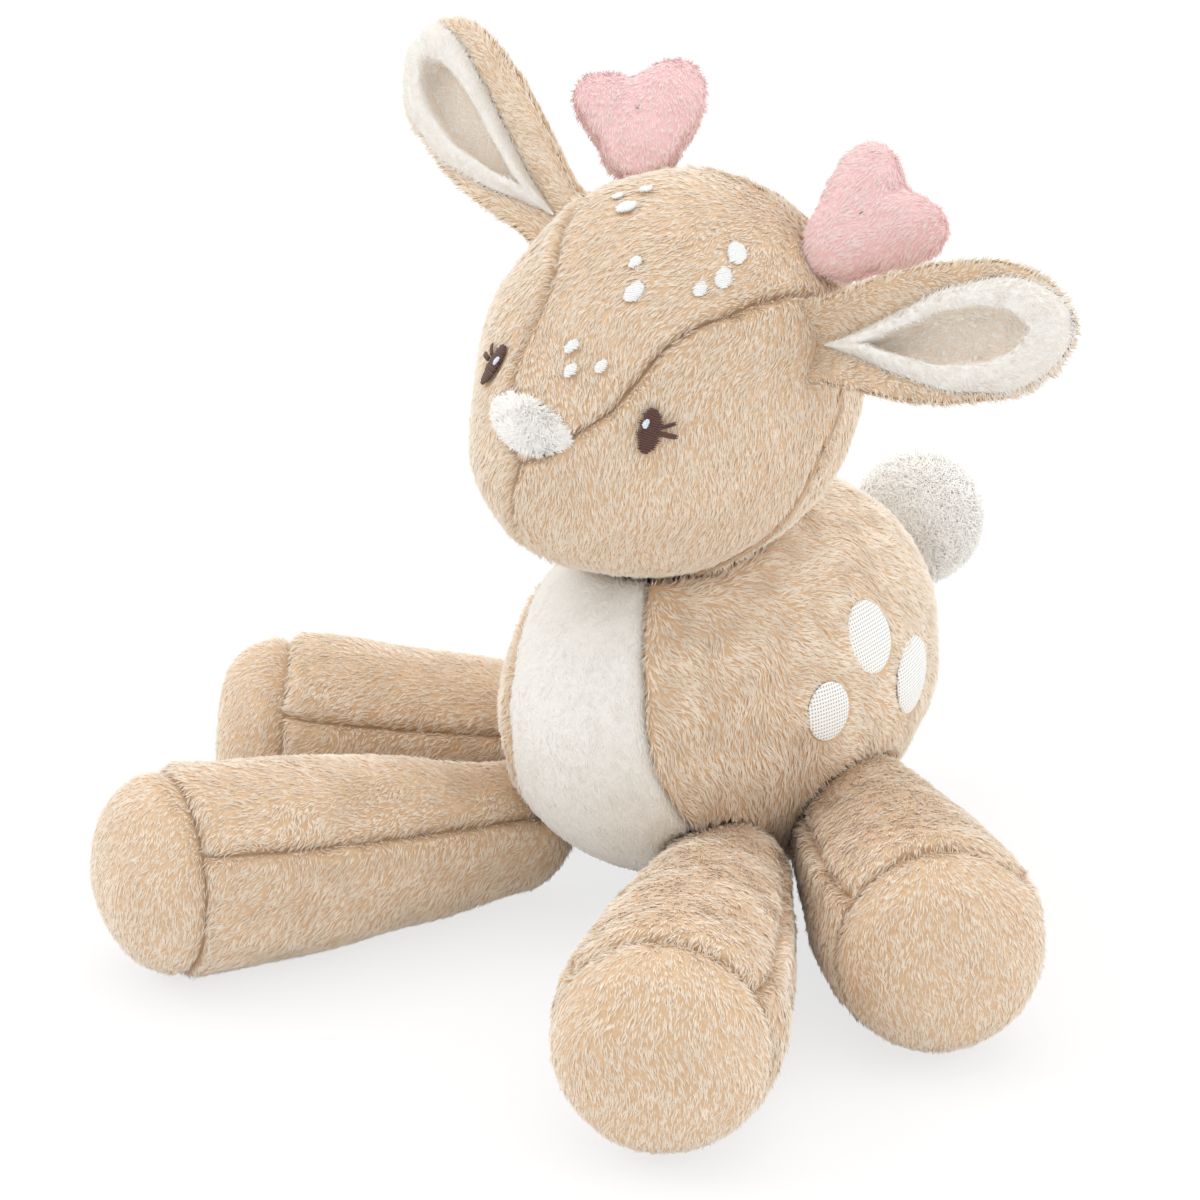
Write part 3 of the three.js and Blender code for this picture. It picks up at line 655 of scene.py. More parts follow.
def settled(points, shoulder=0.4 * MM, reach=3 * MM):
    """Moves each crowded point inwards, in steps, then adds the rounded shoulder."""
    flat = points.reshape(-1, 3).copy()
    core = np.stack([
        np.zeros(len(flat)), np.clip(flat[:, 1], -50 * MM, 50 * MM) * 0.7,
        np.full(len(flat), 62 * MM),
    ], 1)
    inward = unit(core - flat)
    moving = np.arange(len(flat))
    for _ in range(60):
        deep = crowding(flat[moving])
        moving, deep = moving[deep > 0], deep[deep > 0]
        if len(moving) == 0:
            break
        flat[moving] += inward[moving] * np.clip(deep, 0.15 * MM, 1.2 * MM)[:, None]
    near = np.maximum(-crowding(flat), 0)
    flat += inward * (shoulder * np.exp(-((near / reach) ** 2)))[:, None]
    return flat.reshape(points.shape)


# %% [markdown]
# One function turns a grid on a stuffed form into a panel of cloth. Near a seam the cloth
# dips into a narrow groove and puckers, and further away it is a little uneven, because
# stuffing never lies quite evenly. Whatever would go through the floor lies flat on it.

# %% Cloth panels
FLOOR_REST = 0.5 * MM
CLOTH = 1.0 * MM
PILE_DEPTH = 1.3


def cloth(points, inside, seams, wrap=False, groove=1.9, lumps=0.6, pucker=0.3, settle=False):
    """Grid moved inwards by pile depth + groove - ridge - puckers - lumps, in mm. away is the
    sum over the seams of the direction from it times exp(-(distance / 2.6 mm)^2). At a seam
    points move straight towards inside, so that the panels that meet there stay together."""
    normals, _ = grid_normals(points, inside, wrap)
    edges = {"bottom": points[-1:], "start": points[:, :1], "end": points[:, -1:]}
    gap = np.full(points.shape[:2], 1.0)
    away = np.zeros(points.shape)
    for seam in seams:
        far = np.linalg.norm(points - edges[seam], axis=-1)
        gap = np.minimum(gap, far)
        away += unit(points - edges[seam]) * np.exp(-((far / (2.6 * MM)) ** 2))[..., None]
    at_seam = np.exp(-((gap / (2.5 * MM)) ** 2))
    normals = unit(normals + (unit(points - inside) - normals) * at_seam[..., None])
    ridge = 0.45 * np.exp(-((gap / (4.5 * MM) - 1) ** 2) * 3)
    sink = groove * np.exp(-((gap / (1.3 * MM)) ** 2)) - ridge
    pleats = pucker * drift(points, 6 * MM, 3) * np.exp(-((gap / (6 * MM)) ** 2))
    uneven = lumps * drift(points, 36 * MM, 4) * (1 - np.exp(-((gap / (7 * MM)) ** 2)))
    points = points + normals * ((-PILE_DEPTH - sink + pleats + uneven) * MM)[..., None]
    if settle:
        points = settled(points)
    points[..., 2] = np.maximum(points[..., 2], FLOOR_REST)
    normals, facing = grid_normals(points, inside, wrap)
    # seam below is a painted shade mask: 1 at a seam, where the backing is darkened for the groove's
    # shadow.
    return {"points": points, "normals": normals, "facing": facing, "wrap": wrap, "away": away,
            "room": 1.0 * (gap > 0.25 * MM), "seam": np.exp(-((gap / (0.8 * MM)) ** 2))}


def cloth_piece(name, skin, finish, thickness=CLOTH):
    ends = not skin["wrap"]
    points, triangles = shell(
        skin["points"], skin["normals"], skin["facing"], thickness, (ends, ends, True, True)
    )
    piece = make_piece(name, points, triangles, finish)
    # The painted seam shade mask is stored as a point attribute, which the backing finish darkens
    # by.
    if "seam" in skin:
        grid, seam = skin["points"].reshape(-1, 3), skin["seam"].ravel()
        grid, seam = grid[seam > 0.02], seam[seam > 0.02]
        near = nearest(points, grid)
        close = np.linalg.norm(points - grid[near], axis=1) < 1.6 * MM
        values = np.where(close, seam[near], 0).astype(np.float32)
        piece.data.attributes.new("Seam", "FLOAT", "POINT").data.foreach_set("value", values)
    print(name, len(triangles), "triangles")
    return piece


def dress(piece, holder, node=None):
    """Attaches a piece to the body that holds it, or bakes its place into its mesh where it lies
    between two bodies, and hides the CAD node that it replaces."""
    if isinstance(holder, str):
        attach(piece, holder)
    else:
        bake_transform(piece)
    if node:
        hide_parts(node)


TAN = ("tan_plush", tan_backing, tan_threads)
WHITE = ("white_plush", white_backing, white_threads)


def sew(node, skin, holder, plush, fill, comb, word="cloth", **brushing):
    """A panel of cloth and its pile, in the plush (slot, backing, threads)."""
    slot_name, backing, threads = plush
    dress(cloth_piece(f"{node}_{word}", skin, backing), holder, node)
    dress(pile(node + "_pile", skin, comb, threads, **brushing), holder)


# %% [markdown]
# Details are sewn on the head and the flank. A round patch is placed by the direction in
# which it lies from the middle of the form, and these directions are listed here first,
# because no pile may grow through a patch or through embroidery.

# %% Where the details lie
DOTS = [
    ((-0.356, -0.272, 0.894), 0.5), ((-0.249, -0.2, 0.948), 0.53), ((-0.254, -0.347, 0.903), 0.82),
    ((0.005, -0.596, 0.803), 0.56), ((0.096, -0.699, 0.708), 0.9), ((0.37, -0.264, 0.891), 1.0),
    ((0.412, -0.397, 0.82), 0.9), ((0.365, -0.512, 0.777), 0.62), ((-0.04, -0.921, 0.387), 0.6),
    ((0.156, -0.918, 0.364), 0.54), ((0.028, -0.955, 0.294), 0.58),
]
DOT_RADIUS, SPOT_RADIUS = 3.4 * MM, 12 * MM
SPOT_OPENING = 0.94
SPOTS = {
    "upper": ((0.904, -0.029, 0.427), 0.92),
    "rear": ((0.929, 0.362, 0.078), 1.0),
    "lower": ((0.872, -0.462, 0.161), 0.72),
}
EYES = {"left": (0.478, -0.864, 0.156), "right": (-0.4, -0.908, 0.118)}
SHINES = {"left": (0.454, -0.872, 0.185), "right": (-0.376, -0.914, 0.147)}
NOSE, NOSE_HALF = (-0.04, -1, 0.015), np.array((15.5, 6.6)) * MM


def patch_axes(toward):
    """Direction of a patch's middle, and its directions across and upward, as unit vectors."""
    toward = unit(np.array(toward, float))
    across = unit(np.cross((0, 0, 1), toward)) * -np.sign(toward[1] if toward[1] else -1)
    upward = unit(np.cross(toward, np.cross((0, 0, 1), toward)))
    return toward, across, upward


def on_patch(form, toward, across_by, upward_by, outset):
    """Surface points found from offsets in metres across and up from a direction."""
    toward, across, upward = patch_axes(toward)
    far = form.reach(toward)
    ways = toward + across * (across_by / far)[..., None] + upward * (upward_by / far)[..., None]
    return form.at(ways, outset)


def clear_of(form, places):
    """True for points further than each place's radius from it, across and up."""
    def test(points):
        open_cloth = np.ones(len(points), bool)
        for toward, wide, high in places:
            way, across, upward = patch_axes(toward)
            off = (points - form.at(way)) @ form.turn
            spot = np.hypot(off @ across / wide, off @ upward / high)
            open_cloth &= (spot > 1) | (np.abs(off @ way) > 12 * MM)
        return open_cloth
    return test


# %% [markdown]
# The body has three panels: a white chest and belly that tapers at both ends, and two tan
# sides that meet along the back. Their shared edge is read from one table of angles up
# from straight ahead, half width and middle, as shares of the body's half width.

# %% The body's panels
CHEST = np.array([
    (-155, 0, 0), (-150, 0.12, 0), (-120, 0.42, 0), (-90, 0.57, 0), (-40, 0.57, 0.04),
    (-14, 0.5, 0.06), (-3, 0.45, 0.045), (4, 0.43, 0.01), (19, 0.42, -0.08), (31, 0.42, -0.19),
    (45, 0.41, -0.32), (56, 0.34, -0.3), (66, 0.2, -0.26), (69, 0, -0.26), (85, 0, 0),
], float)


def chest_edge(up, sign):
    """Side angle of the chest's seam: arcsine of middle + sign * half."""
    degrees = np.degrees(up)
    degrees = np.where(degrees > 180, degrees - 360, degrees)
    half = np.interp(degrees, CHEST[:, 0], CHEST[:, 1])
    middle = np.interp(degrees, CHEST[:, 0], CHEST[:, 2])
    return np.arcsin(middle + sign * half)


def between(form, up, low, high, t):
    """Grid with rows at the angles up and columns from the edge low to the edge high."""
    side = low[:, None] + (high - low)[:, None] * t
    return form.at(form.toward(up[:, None] + 0 * side, side))


chest_up = np.radians(np.linspace(-155, 69, 130))
all_round = np.radians(np.linspace(-180, 180, 200))
quarter = np.full(len(all_round), math.pi / 2)
body_skins = {
    "chest_belly_panel": cloth(
        between(body, chest_up, chest_edge(chest_up, -1), chest_edge(chest_up, 1),
                crowded(46, share=0.75)),
        body.centre, ("start", "end"), lumps=0.4, settle=True,
    )
}
for name, sign in (("body_left_side", 1), ("body_right_side", -1)):
    grid = between(body, all_round, chest_edge(all_round, sign), sign * quarter,
                   crowded(46, end=False, share=0.75))
    body_skins[name] = cloth(grid, body.centre, ("start",), wrap=True, settle=True)


def body_comb(points):
    """Brushed down and to the rear, with a slow turn from place to place."""
    turn = 0.5 * drift(points, 70 * MM, 7)
    return np.stack([0 * turn, 0.45 + turn, -1 + 0 * turn], 1)


def open_body(points):
    """True where the body's pile is in the open at some pose: not under the head or a leg
    at all of their limits, and not under a spot."""
    turns = (-HEAD_SWING, 0, HEAD_SWING)
    room = np.min([head.depth(points, turned) for turned in turns], axis=0) < 0.6 * MM
    for name in LEGS:
        depths = [leg_depth(points, leg, swing) for leg, swing in SWINGS if leg == name]
        room &= np.min(depths, axis=0) < -0.3 * MM
    places = []
    for toward, size in SPOTS.values():
        x, y, z = toward
        radius = SPOT_RADIUS * size * SPOT_OPENING
        places += [((x, y, z), radius, radius), ((-x, y, z), radius, radius)]
    return room & clear_of(body, places)(points) & (points[:, 2] > 1.2 * MM)


def beside_body(points):
    """Degrees that the body's threads stand up in the crease below the head or at a leg."""
    degrees = 40 * np.exp(-((head.depth(points) / (2.5 * MM)) ** 2))
    for name in LEGS:
        degrees = degrees + 18 * np.exp(-((leg_depth(points, name, 0) / (2.5 * MM)) ** 2))
    return degrees


for seed, (name, skin) in enumerate(body_skins.items()):
    chest = name == "chest_belly_panel"
    sew(
        name, skin, "body", WHITE if chest else TAN, 0.85, body_comb,
        per_mm2=1.15 if chest else 1.45, length=2.1 if chest else 3.2, width=0.6,
        lift=14 if chest else 19, swirl=30 if chest else 38, gather=0.15 if chest else 0.4,
        patches=0.05 if chest else 0.55, keep=open_body, seed=20 + seed, puff=beside_body,
    )

# %% [markdown]
# The head has five panels: the forehead gusset from the nose to the crown, a side panel on
# each side of it, and two back panels behind a seam that runs round the head. Below the
# nose the side panels meet along the chin.

# %% The head's panels
GUSSET = [(-7, 0), (-4, 0.094), (11, 0.305), (21, 0.36), (32, 0.4), (43, 0.46), (57, 0.575),
          (75, 0.65), (91, 0.71), (120, 0.8)]
BACK_SEAM = unit(np.array((0, 1, -0.3)))
BACK_DISTANCE = 2.9 * MM


def gusset_edge(up):
    """Side angle of the gusset's seam, zero under the nose."""
    degrees = np.degrees(up)
    degrees = np.where(degrees > 200, degrees - 360, degrees)
    half = np.where(degrees < -7, 0, table(GUSSET, degrees))
    return np.arcsin(half)


def behind(up):
    """Distance in front of the origin plane of the seam round the head, at side zero."""
    return head.girth(up) * (-np.cos(up) * BACK_SEAM[1] + np.sin(up) * BACK_SEAM[2])


def back_edge(up):
    """Side angle at which the seam round the head crosses this angle up."""
    return np.arccos(np.clip(BACK_DISTANCE / np.maximum(behind(up), 1e-9), 0, 1))


scan = np.radians(np.linspace(90, 300, 4201))
crossed = scan[behind(scan) > BACK_DISTANCE]
crown, nape = crossed[0], crossed[-1]
near = np.radians(4) * np.linspace(0, 1, 12) ** 2
side_up = np.unique(np.concatenate([
    np.radians(np.linspace(0, 360, 200)), crown + near, nape - near,
]))
upper_edge = np.where(side_up < math.pi, gusset_edge(side_up), 0)
edge = np.where(behind(side_up) > BACK_DISTANCE, np.maximum(back_edge(side_up), upper_edge),
                gusset_edge(side_up))
back_up = crown + (nape - crown) * (1 - np.cos(math.pi * np.linspace(0, 1, 64))) / 2
steps, t = np.meshgrid(
    crowded(70, start=False, end=False), 2 * crowded(48, share=0.75) - 1, indexing="ij"
)
top_scan = np.radians(np.linspace(100, 130, 601))
side = 0 * t
for _ in range(12):
    last = np.interp(BACK_DISTANCE / np.cos(side), behind(top_scan), top_scan)
    up = math.radians(-7) + steps * (last - math.radians(-7))
    side = t * gusset_edge(up)
head_skins = {
    "forehead_gusset": cloth(
        head.at(head.toward(up, side)), head.centre, ("start", "end", "bottom")
    )
}
for word, sign in (("left", 1), ("right", -1)):
    ends = sign * np.full(len(side_up), math.pi / 2)
    grid = between(head, side_up, sign * edge, ends, crowded(44, end=False, share=0.75))
    head_skins[f"head_{word}_side"] = cloth(grid, head.centre, ("start",), wrap=True)
    grid = between(head, back_up, 0 * back_up, sign * back_edge(back_up), crowded(42, share=0.75))
    head_skins[f"head_back_{word}"] = cloth(grid, head.centre, ("start", "end"))


def head_comb(points):
    """Brushed down the cheeks. On the forehead forward and to the right, and on the snout
    to the left, which is how this toy's gusset was cut."""
    own = (points - head.centre) @ head.turn / head.radii
    crown = np.clip(own[:, 2] * 1.6 - 0.1, 0, 1)
    snout = np.exp(-((own[:, 0] / 0.45) ** 2) - ((own[:, 2] - 0.28) / 0.2) ** 2) * (own[:, 1] < 0)
    middle = np.exp(-((own[:, 0] / 0.75) ** 4))
    across = middle * (-0.75 * crown + 1.1 * snout)
    return np.stack([across, -0.9 * crown - 0.2, -1 + 0.25 * snout + 0 * crown], 1)


face_places = [(way, DOT_RADIUS * size * 0.8, DOT_RADIUS * size * 0.8) for way, size in DOTS]
face_places += [(NOSE, NOSE_HALF[0] * 0.9, NOSE_HALF[1] * 0.9)]
face_places += [(way, 3.2 * MM, 6.0 * MM) for way in EYES.values()]
for seed, (name, skin) in enumerate(head_skins.items()):
    sew(
        name, skin, "head", TAN, 0.9, head_comb, per_mm2=1.4 if "back" in name else 2.0,
        length=2.9, width=0.5, lift=17, stray=9, swirl=20, patches=0.1,
        keep=clear_of(head, face_places), seed=40 + seed,
    )

# %% [markdown]
# Each leg is sewn from an upper panel, a lower panel that wraps underneath, and a round
# sole. The side seams run at a steady share of the leg's radius above its axis. The cloth
# near the hip belongs half to the body and half to the leg, and hip_blend gives that blend as data.

# %% The legs' panels
HIP_BLEND = 30 * MM


def leg_points(name, along, around, radius):
    """Along the leg's axis, and round it at this radius, from its hip."""
    own = np.stack([radius * np.cos(around), -along + 0 * around, radius * np.sin(around)], -1)
    return leg_hip(name) + own @ leg_turn(name).T


def root_radius(along):
    """A ball's outline before the hip, the shaft's after it."""
    ball = np.sqrt(np.maximum(ROOT_RADIUS**2 - np.minimum(along, 0) ** 2, 0))
    return np.where(along < 0, ball, leg_radius(along))


def seam_angle(along, radius):
    """Angle of the side seams: arcsine of seam height / radius."""
    height = SEAM_SHARE * (ROOT_RADIUS + (FOOT_RADIUS - ROOT_RADIUS) * along / LEG_LENGTH)
    return np.arcsin(np.clip(height / np.maximum(radius, 1e-9), -1, 1))


ball_rows = -ROOT_RADIUS * np.cos(np.linspace(0, math.pi / 2, 14)[:-1])
shaft_rows = LEG_LENGTH * (1 - (1 - np.linspace(0, 1, 50)) ** 1.25)
leg_rows = np.concatenate([ball_rows, shaft_rows])
dome = math.pi / 2 * np.linspace(0, 1, 28) ** 1.3
sole_radius = FOOT_RADIUS * RIM_SHARE * np.cos(dome) ** (2 / DOME_POWER)
sole_along = LEG_LENGTH + SOLE_DOME * np.sin(dome) ** (2 / DOME_POWER)
sole_radius[-1] = 0
leg_skins = {}
for name in LEGS:
    radius = root_radius(leg_rows)
    axis_rows = np.clip(leg_rows, 0, LEG_LENGTH - 25 * MM)[:, None]
    spine = leg_points(name, axis_rows, 0 * axis_rows, 0 * axis_rows)
    seam = seam_angle(leg_rows, radius)
    rows, spread = leg_rows[:, None], radius[:, None]
    for word, low, high, count in (
        ("upper", seam, math.pi - seam, 44), ("lower", math.pi - seam, 2 * math.pi + seam, 92),
    ):
        around = low[:, None] + (high - low)[:, None] * crowded(count)
        grid = leg_points(name, rows, around, spread)
        leg_skins[f"leg_{name}_{word}"] = cloth(grid, spine, ("start", "end", "bottom"), lumps=0.8)
    around = np.linspace(0, 2 * math.pi, 96)[None, :] + 0 * sole_along[:, None]
    grid = leg_points(name, sole_along[:, None], around, sole_radius[:, None])
    leg_skins[f"leg_{name}_sole"] = cloth(
        grid.transpose(1, 0, 2), spine[-1, 0], ("start",), wrap=True
    )


def hip_blend(name):
    """The blend of a leg's cloth as data: the body at the hip and the leg from HIP_BLEND on."""
    start = leg_hip(name)
    end = start + leg_turn(name) @ np.array((0, -HIP_BLEND, 0))
    return "body", "leg_" + name, start.tolist(), end.tolist()


def outside_body(name):
    """A test that is True where a leg's thread is out of the body at some swing of the leg."""
    def test(points):
        own = (points - leg_hip(name)) @ leg_turn(name)
        swings = [swing for leg, swing in SWINGS if leg == name]
        places = [leg_hip(name) + own @ leg_turn(name, swing).T for swing in swings]
        depth = np.min([body.depth(place) for place in places], axis=0)
        return (depth < 2.5 * MM) & (points[:, 2] > 0.8 * MM)
    return test


def beside_leg(points):
    """Degrees that a leg's threads stand up in the crease beside the body."""
    return 18 * np.exp(-((body.depth(points) / (2.5 * MM)) ** 2))


for seed, (node, skin) in enumerate(leg_skins.items()):
    name, part = node[4:].rsplit("_", 1)
    axis = leg_turn(name) @ np.array((0, -1, 0))

    def leg_comb(points, axis=axis, part=part):
        """Brushed towards the foot and down; on the sole only down."""
        along = 0.15 if part == "sole" else 1.0
        return points * 0 + axis * along + np.array((0, 0, -0.75))

    sole = part == "sole"
    sew(
        node, skin, "leg_" + name if sole else hip_blend(name), TAN, 0.9, leg_comb,
        per_mm2=1.46, length=2.6 if sole else 2.9, width=0.56, lift=15 if sole else 17,
        swirl=22 if sole else 30, keep=outside_body(name), patches=0.15 if sole else 0.35,
        seed=60 + seed, puff=beside_leg,
    )

# %% [markdown]
# An ear is a leaf of cloth, cupped along its length, with a tan back that rolls round its
# rim and a white lining with thick soft edges and a hollow middle. Both are worked out in
# the ear's own frame: its seat on the head and the directions across, along and facing.

# %% The ears' shape
EAR_LENGTH, EAR_HALF_WIDTH = 71 * MM, 18.5 * MM
EAR_BLEND, ANTLER_BLEND = 13, 12
EARS = {
    "left": ((51.21, -32.28, 178.28), (0.23095, -0.25134, -0.93994), (0.975, 0.042, 0.219),
             (-0.018, -0.965, 0.263)),
    "right": ((-37.23, -26.25, 199.57), (-0.60784, -0.20243, -0.76782), (-0.800, 0.162, 0.578),
              (-0.002, -0.964, 0.267)),
}
EAR_CURL = [(0, 0.9), (0.2, 0.72), (0.5, 0.5), (0.8, 0.36), (1, 0.2)]
EAR_WIDTH = [(0, 0.58), (0.12, 0.7), (0.3, 0.89), (0.5, 1), (0.7, 0.98), (0.85, 0.93), (1, 0.9)]
LINING_LOW = {
    "left": [(0, 0.06), (0.1, -0.1), (0.27, -0.38), (0.52, -0.72), (0.78, -0.88), (1, -1)],
    "right": [(0, 0.18), (0.1, 0.1), (0.25, -0.05), (0.5, -0.32), (0.75, -0.6), (1, -0.92)],
}
LINING_HIGH = {
    "left": [(0, 0.12), (0.1, 0.34), (0.27, 0.66), (0.52, 0.92), (0.78, 1), (1, 1)],
    "right": [(0, 0.24), (0.1, 0.48), (0.25, 0.79), (0.5, 0.98), (0.75, 1), (1, 1)],
}
HOLLOW = [(0, 0), (0.14, 0), (0.32, 0.42), (0.5, 0.55), (0.68, 0.53), (0.8, 0.36), (0.88, 0),
          (1, 0)]
HOLLOW_DEPTH = 2.6 * MM


def seat_frame(row):
    """A sewn piece's seat on the head, in metres, and its ways across, along and facing."""
    seat, wide, far, facing = (np.array(v, float) for v in row)
    return seat * MM, wide, far, facing


def head_blend(name, row, depth):
    """The blend of a sewn piece as data: the head at its seat and its own body from depth mm on."""
    seat, _, far, _ = seat_frame(row)
    return "head", name, seat.tolist(), (seat + far * depth * MM).tolist()


def ear_place(side, along, across, lift):
    """A leaf bent into a gutter: the bend's radius is the half width / sin(curl), and a
    point lies lift metres in front of the leaf's back, towards the middle of the bend."""
    seat, wide, far, facing = seat_frame(EARS[side])
    share = np.clip(along, 0, 1)
    smooth = np.linspace(0, 1, 201)
    spread = np.convolve(np.pad(table(EAR_WIDTH, smooth), 12, "edge"), np.ones(25) / 25, "valid")
    curl = np.radians(95 * table(EAR_CURL, share))
    tip = np.sqrt(np.maximum(1 - np.clip((share - 0.74) / 0.26, 0, 1) ** 1.7, 0.004))
    half = EAR_HALF_WIDTH * np.interp(share, smooth, spread) * tip
    bend = half / np.sin(np.minimum(curl, math.pi / 2))
    angle = across * curl
    radius = bend - lift
    return (
        seat + far * (EAR_LENGTH * along)[..., None]
        + wide * (radius * np.sin(angle))[..., None]
        + facing * (bend - radius * np.cos(angle))[..., None]
    )


def ear_thickness(along, across):
    """Padded leaf: 5.2 mm thick in its middle and 0.6 mm at its rim and its end."""
    rim = np.sqrt(np.maximum(1 - np.abs(across) ** 3, 0))
    end = np.sqrt(np.clip((1.0 - along) / 0.12, 0, 1))
    return (0.6 + 4.6 * rim * end) * MM


# %% [markdown]
# The lining is a narrower leaf between two lines of the ear's own grid. Its edges are rolled
# and thick, and its middle is a hollow that dips into the ear. The pile in the hollow is shorter
# and has a warm beige tint of its own, which is painted shade and painted warm light reflected from
# the tan back.

# %% The ears' pieces
# Painted shade and reflected light: the hollow's threads are warm beige for the shade of the dip and
# the tan back's glow in it.
hollow_shade_threads = thread_finish(
    "hollow_shade_threads", (0.90, 0.845, 0.78), (0.94, 0.89, 0.83), (0.955, 0.91, 0.86), 0.97, 1.0
)
lining_threads = thread_finish(
    "lining_threads", (0.91, 0.885, 0.85), (0.95, 0.93, 0.90), (0.97, 0.955, 0.93), 0.95, 1.0
)


def hollow_dip(along, own):
    """1 in the hollow, 0 on the rims: smooth step over 0.3 of the lining's half width,
    where own goes from -1 to 1 across the lining."""
    wide = table(HOLLOW, np.clip(along, 0, 1))
    share = np.clip((wide - np.abs(own)) / 0.3 + 0.5, 0, 1) * np.clip(wide / 0.3, 0, 1)
    return share * share * (3 - 2 * share)


def facing_leaf(front, back, toward):
    """A closed leaf whose front half faces the given direction."""
    points, triangles = welded(*two_sheets(front, back))
    a, b, c = (points[triangles[: len(triangles) // 3, k]] for k in range(3))
    if np.cross(b - a, c - a).sum(0) @ np.array(toward) < 0:
        triangles = triangles[:, ::-1]
    return points, triangles


def ear_pieces(side):
    """The ear's two leaves and their skins for the pile."""
    _, _, _, facing = seat_frame(EARS[side])
    along = np.linspace(-0.07, 1, 72)[:, None] + np.zeros(60)
    across = (2 * crowded(60) - 1)[None, :] + 0 * along
    low, high = (table(edge[side], np.clip(along, 0, 1)) for edge in (LINING_LOW, LINING_HIGH))
    middle, half = (low + high) / 2, (high - low) / 2
    dip = hollow_dip(along, (across - middle) / half)
    front = ear_place(side, along, across, ear_thickness(along, across) - HOLLOW_DEPTH * dip)
    bulge = 1.6 * MM * np.cos(across * math.pi / 2) * np.sin(np.clip(along, 0, 1) * math.pi)
    back = ear_place(side, along, across, -bulge)
    outer = make_piece(f"ear_{side}_back_cloth", *facing_leaf(front, back, facing), tan_backing)

    place = middle + half * across
    dip = hollow_dip(along, across)
    roll = np.clip(1 - np.abs(across) ** 8, 0, 1) ** 0.5
    end = np.clip((1.0 - along) / 0.05, 0, 1) ** 0.5
    narrow = np.clip(half * 3.0, 0, 1)
    base = ear_thickness(along, place) - HOLLOW_DEPTH * dip
    puff = (0.3 + 3.8 * (1 - 0.85 * dip) * roll * end * narrow) * MM
    rows = slice(5, None)
    lining_front = ear_place(side, along, place, base + puff)[rows]
    lining_back = ear_place(side, along, place, base - 0.8 * MM)[rows]
    lining = make_piece(f"ear_{side}_lining_cloth",
                        *facing_leaf(lining_front, lining_back, facing), white_backing)
    own = (across - middle) / half
    outward = unit(np.gradient(front, axis=1)) * np.sign(across)[..., None]
    turned_out = outward * np.clip((np.abs(across) - 0.8) / 0.2, 0, 1)[..., None]
    skins = {
        "back": skin_of(back, -facing),
        "rim": skin_of(front, facing, 1.0 * (np.abs(own) > 0.9)),
        "lining": skin_of(lining_front, facing, np.clip((0.8 - dip[rows]) / 0.6, 0, 1)),
        # Where the warm beige pile of painted shade grows: deepest in the dip of the hollow.
        "hollow": skin_of(lining_front, facing, np.clip((dip[rows] - 0.1) / 0.6, 0, 1)),
    }
    for word in ("back", "rim"):
        skins[word]["away"] = turned_out
    skins["lining"]["away"] = turned_out[rows]
    return outer, lining, skins


def skin_of(points, toward, room=None):
    """Grid with the normals that face a direction."""
    normals, _ = grid_normals(points, points.mean((0, 1)) - np.array(toward) * 0.2)
    skin = {"points": points, "normals": normals, "facing": 1, "wrap": False}
    if room is not None:
        skin["room"] = room
    return skin


for side in ("left", "right"):
    _, _, far, _ = seat_frame(EARS[side])
    outer, lining, skins = ear_pieces(side)

    def ear_comb(points, far=far):
        """Brushed towards the ear's tip."""
        return points * 0 + far + np.array((0, 0, -0.25))

    threads = [
        pile(f"ear_{side}_back_pile", skins["back"], ear_comb, tan_threads, 2.2, 2.5, 0.46, 16,
             swirl=30, seed=80),
        pile(f"ear_{side}_rim_pile", skins["rim"], ear_comb, tan_threads, 2.8, 2.5, 0.46, 18,
             swirl=30, seed=81, patches=0.2),
        pile(f"ear_{side}_lining_pile", skins["lining"], ear_comb, lining_threads, 2.8, 2.0, 0.45,
             17, seed=82, gather=0.1),
        pile(f"ear_{side}_hollow_shade_pile", skins["hollow"], ear_comb, hollow_shade_threads, 4.0, 1.6, 0.55,
             10, seed=83, gather=0.0, sink=0.1),
    ]
    holder = head_blend("ear_" + side, EARS[side], EAR_BLEND)
    dress(outer, holder, f"ear_{side}_outer")
    dress(lining, holder, f"ear_{side}_inner")
    for piece, slot_name in zip(threads, ["tan_plush"] * 2 + ["white_plush"] * 2):
        dress(piece, holder)

# %% [markdown]
# A soft antler is a puffed heart with a front and a back panel of pink plush, joined by a
# seam round its edge. Its outline is a table of distances by degrees from the notch.

# %% The antlers
ANTLER_HEIGHT, ANTLER_HALF, HEART_MIDDLE = 37 * MM, 8.5 * MM, 0.47
ANTLERS = {
    "left": ((41.71, -24.51, 197.34), (0.77634, -0.19309, -0.60001), (0.612, 0.456, 0.646),
             (0.147, -0.869, 0.472)),
    "right": ((-19.22, -20.35, 212.00), (-0.87920, -0.47633, -0.01088), (-0.349, 0.629, 0.695),
              (0.326, -0.615, 0.718)),
}
HEART = [(0, 0.37), (18, 0.47), (38, 0.61), (55, 0.635), (72, 0.57), (95, 0.46), (125, 0.42),
         (152, 0.52), (180, 0.6)]
HEART_LEAN = {"left": (0, 0.03), "right": (11, -0.06)}


def heart_reach(side, degrees):
    """Outline by degrees from the notch, smoothed over 14 degrees. The lean turns the notch,
    but not the root, and makes one lobe larger: reach * (1 + larger * sin(degrees))."""
    turned, larger = HEART_LEAN[side]
    shifted = degrees - turned * np.cos(np.radians(degrees) / 2) ** 2
    total = 0
    for shift in (-7, -3.5, 0, 3.5, 7):
        away = np.abs((shifted + shift + 180) % 360 - 180)
        total = total + table(HEART, away)
    return ANTLER_HEIGHT * total / 5 * (1 + larger * np.sin(np.radians(degrees)))


def heart_grid(side, degrees, reach, lift):
    """The antler's middle, and points that lie at reach and degrees from it, lifted."""
    seat, wide, far, facing = seat_frame(ANTLERS[side])
    middle = seat + far * ANTLER_HEIGHT * HEART_MIDDLE
    return middle, (middle + far * (reach * np.cos(np.radians(degrees)))[..., None]
                    + wide * (reach * np.sin(np.radians(degrees)))[..., None]
                    + facing * lift[..., None])


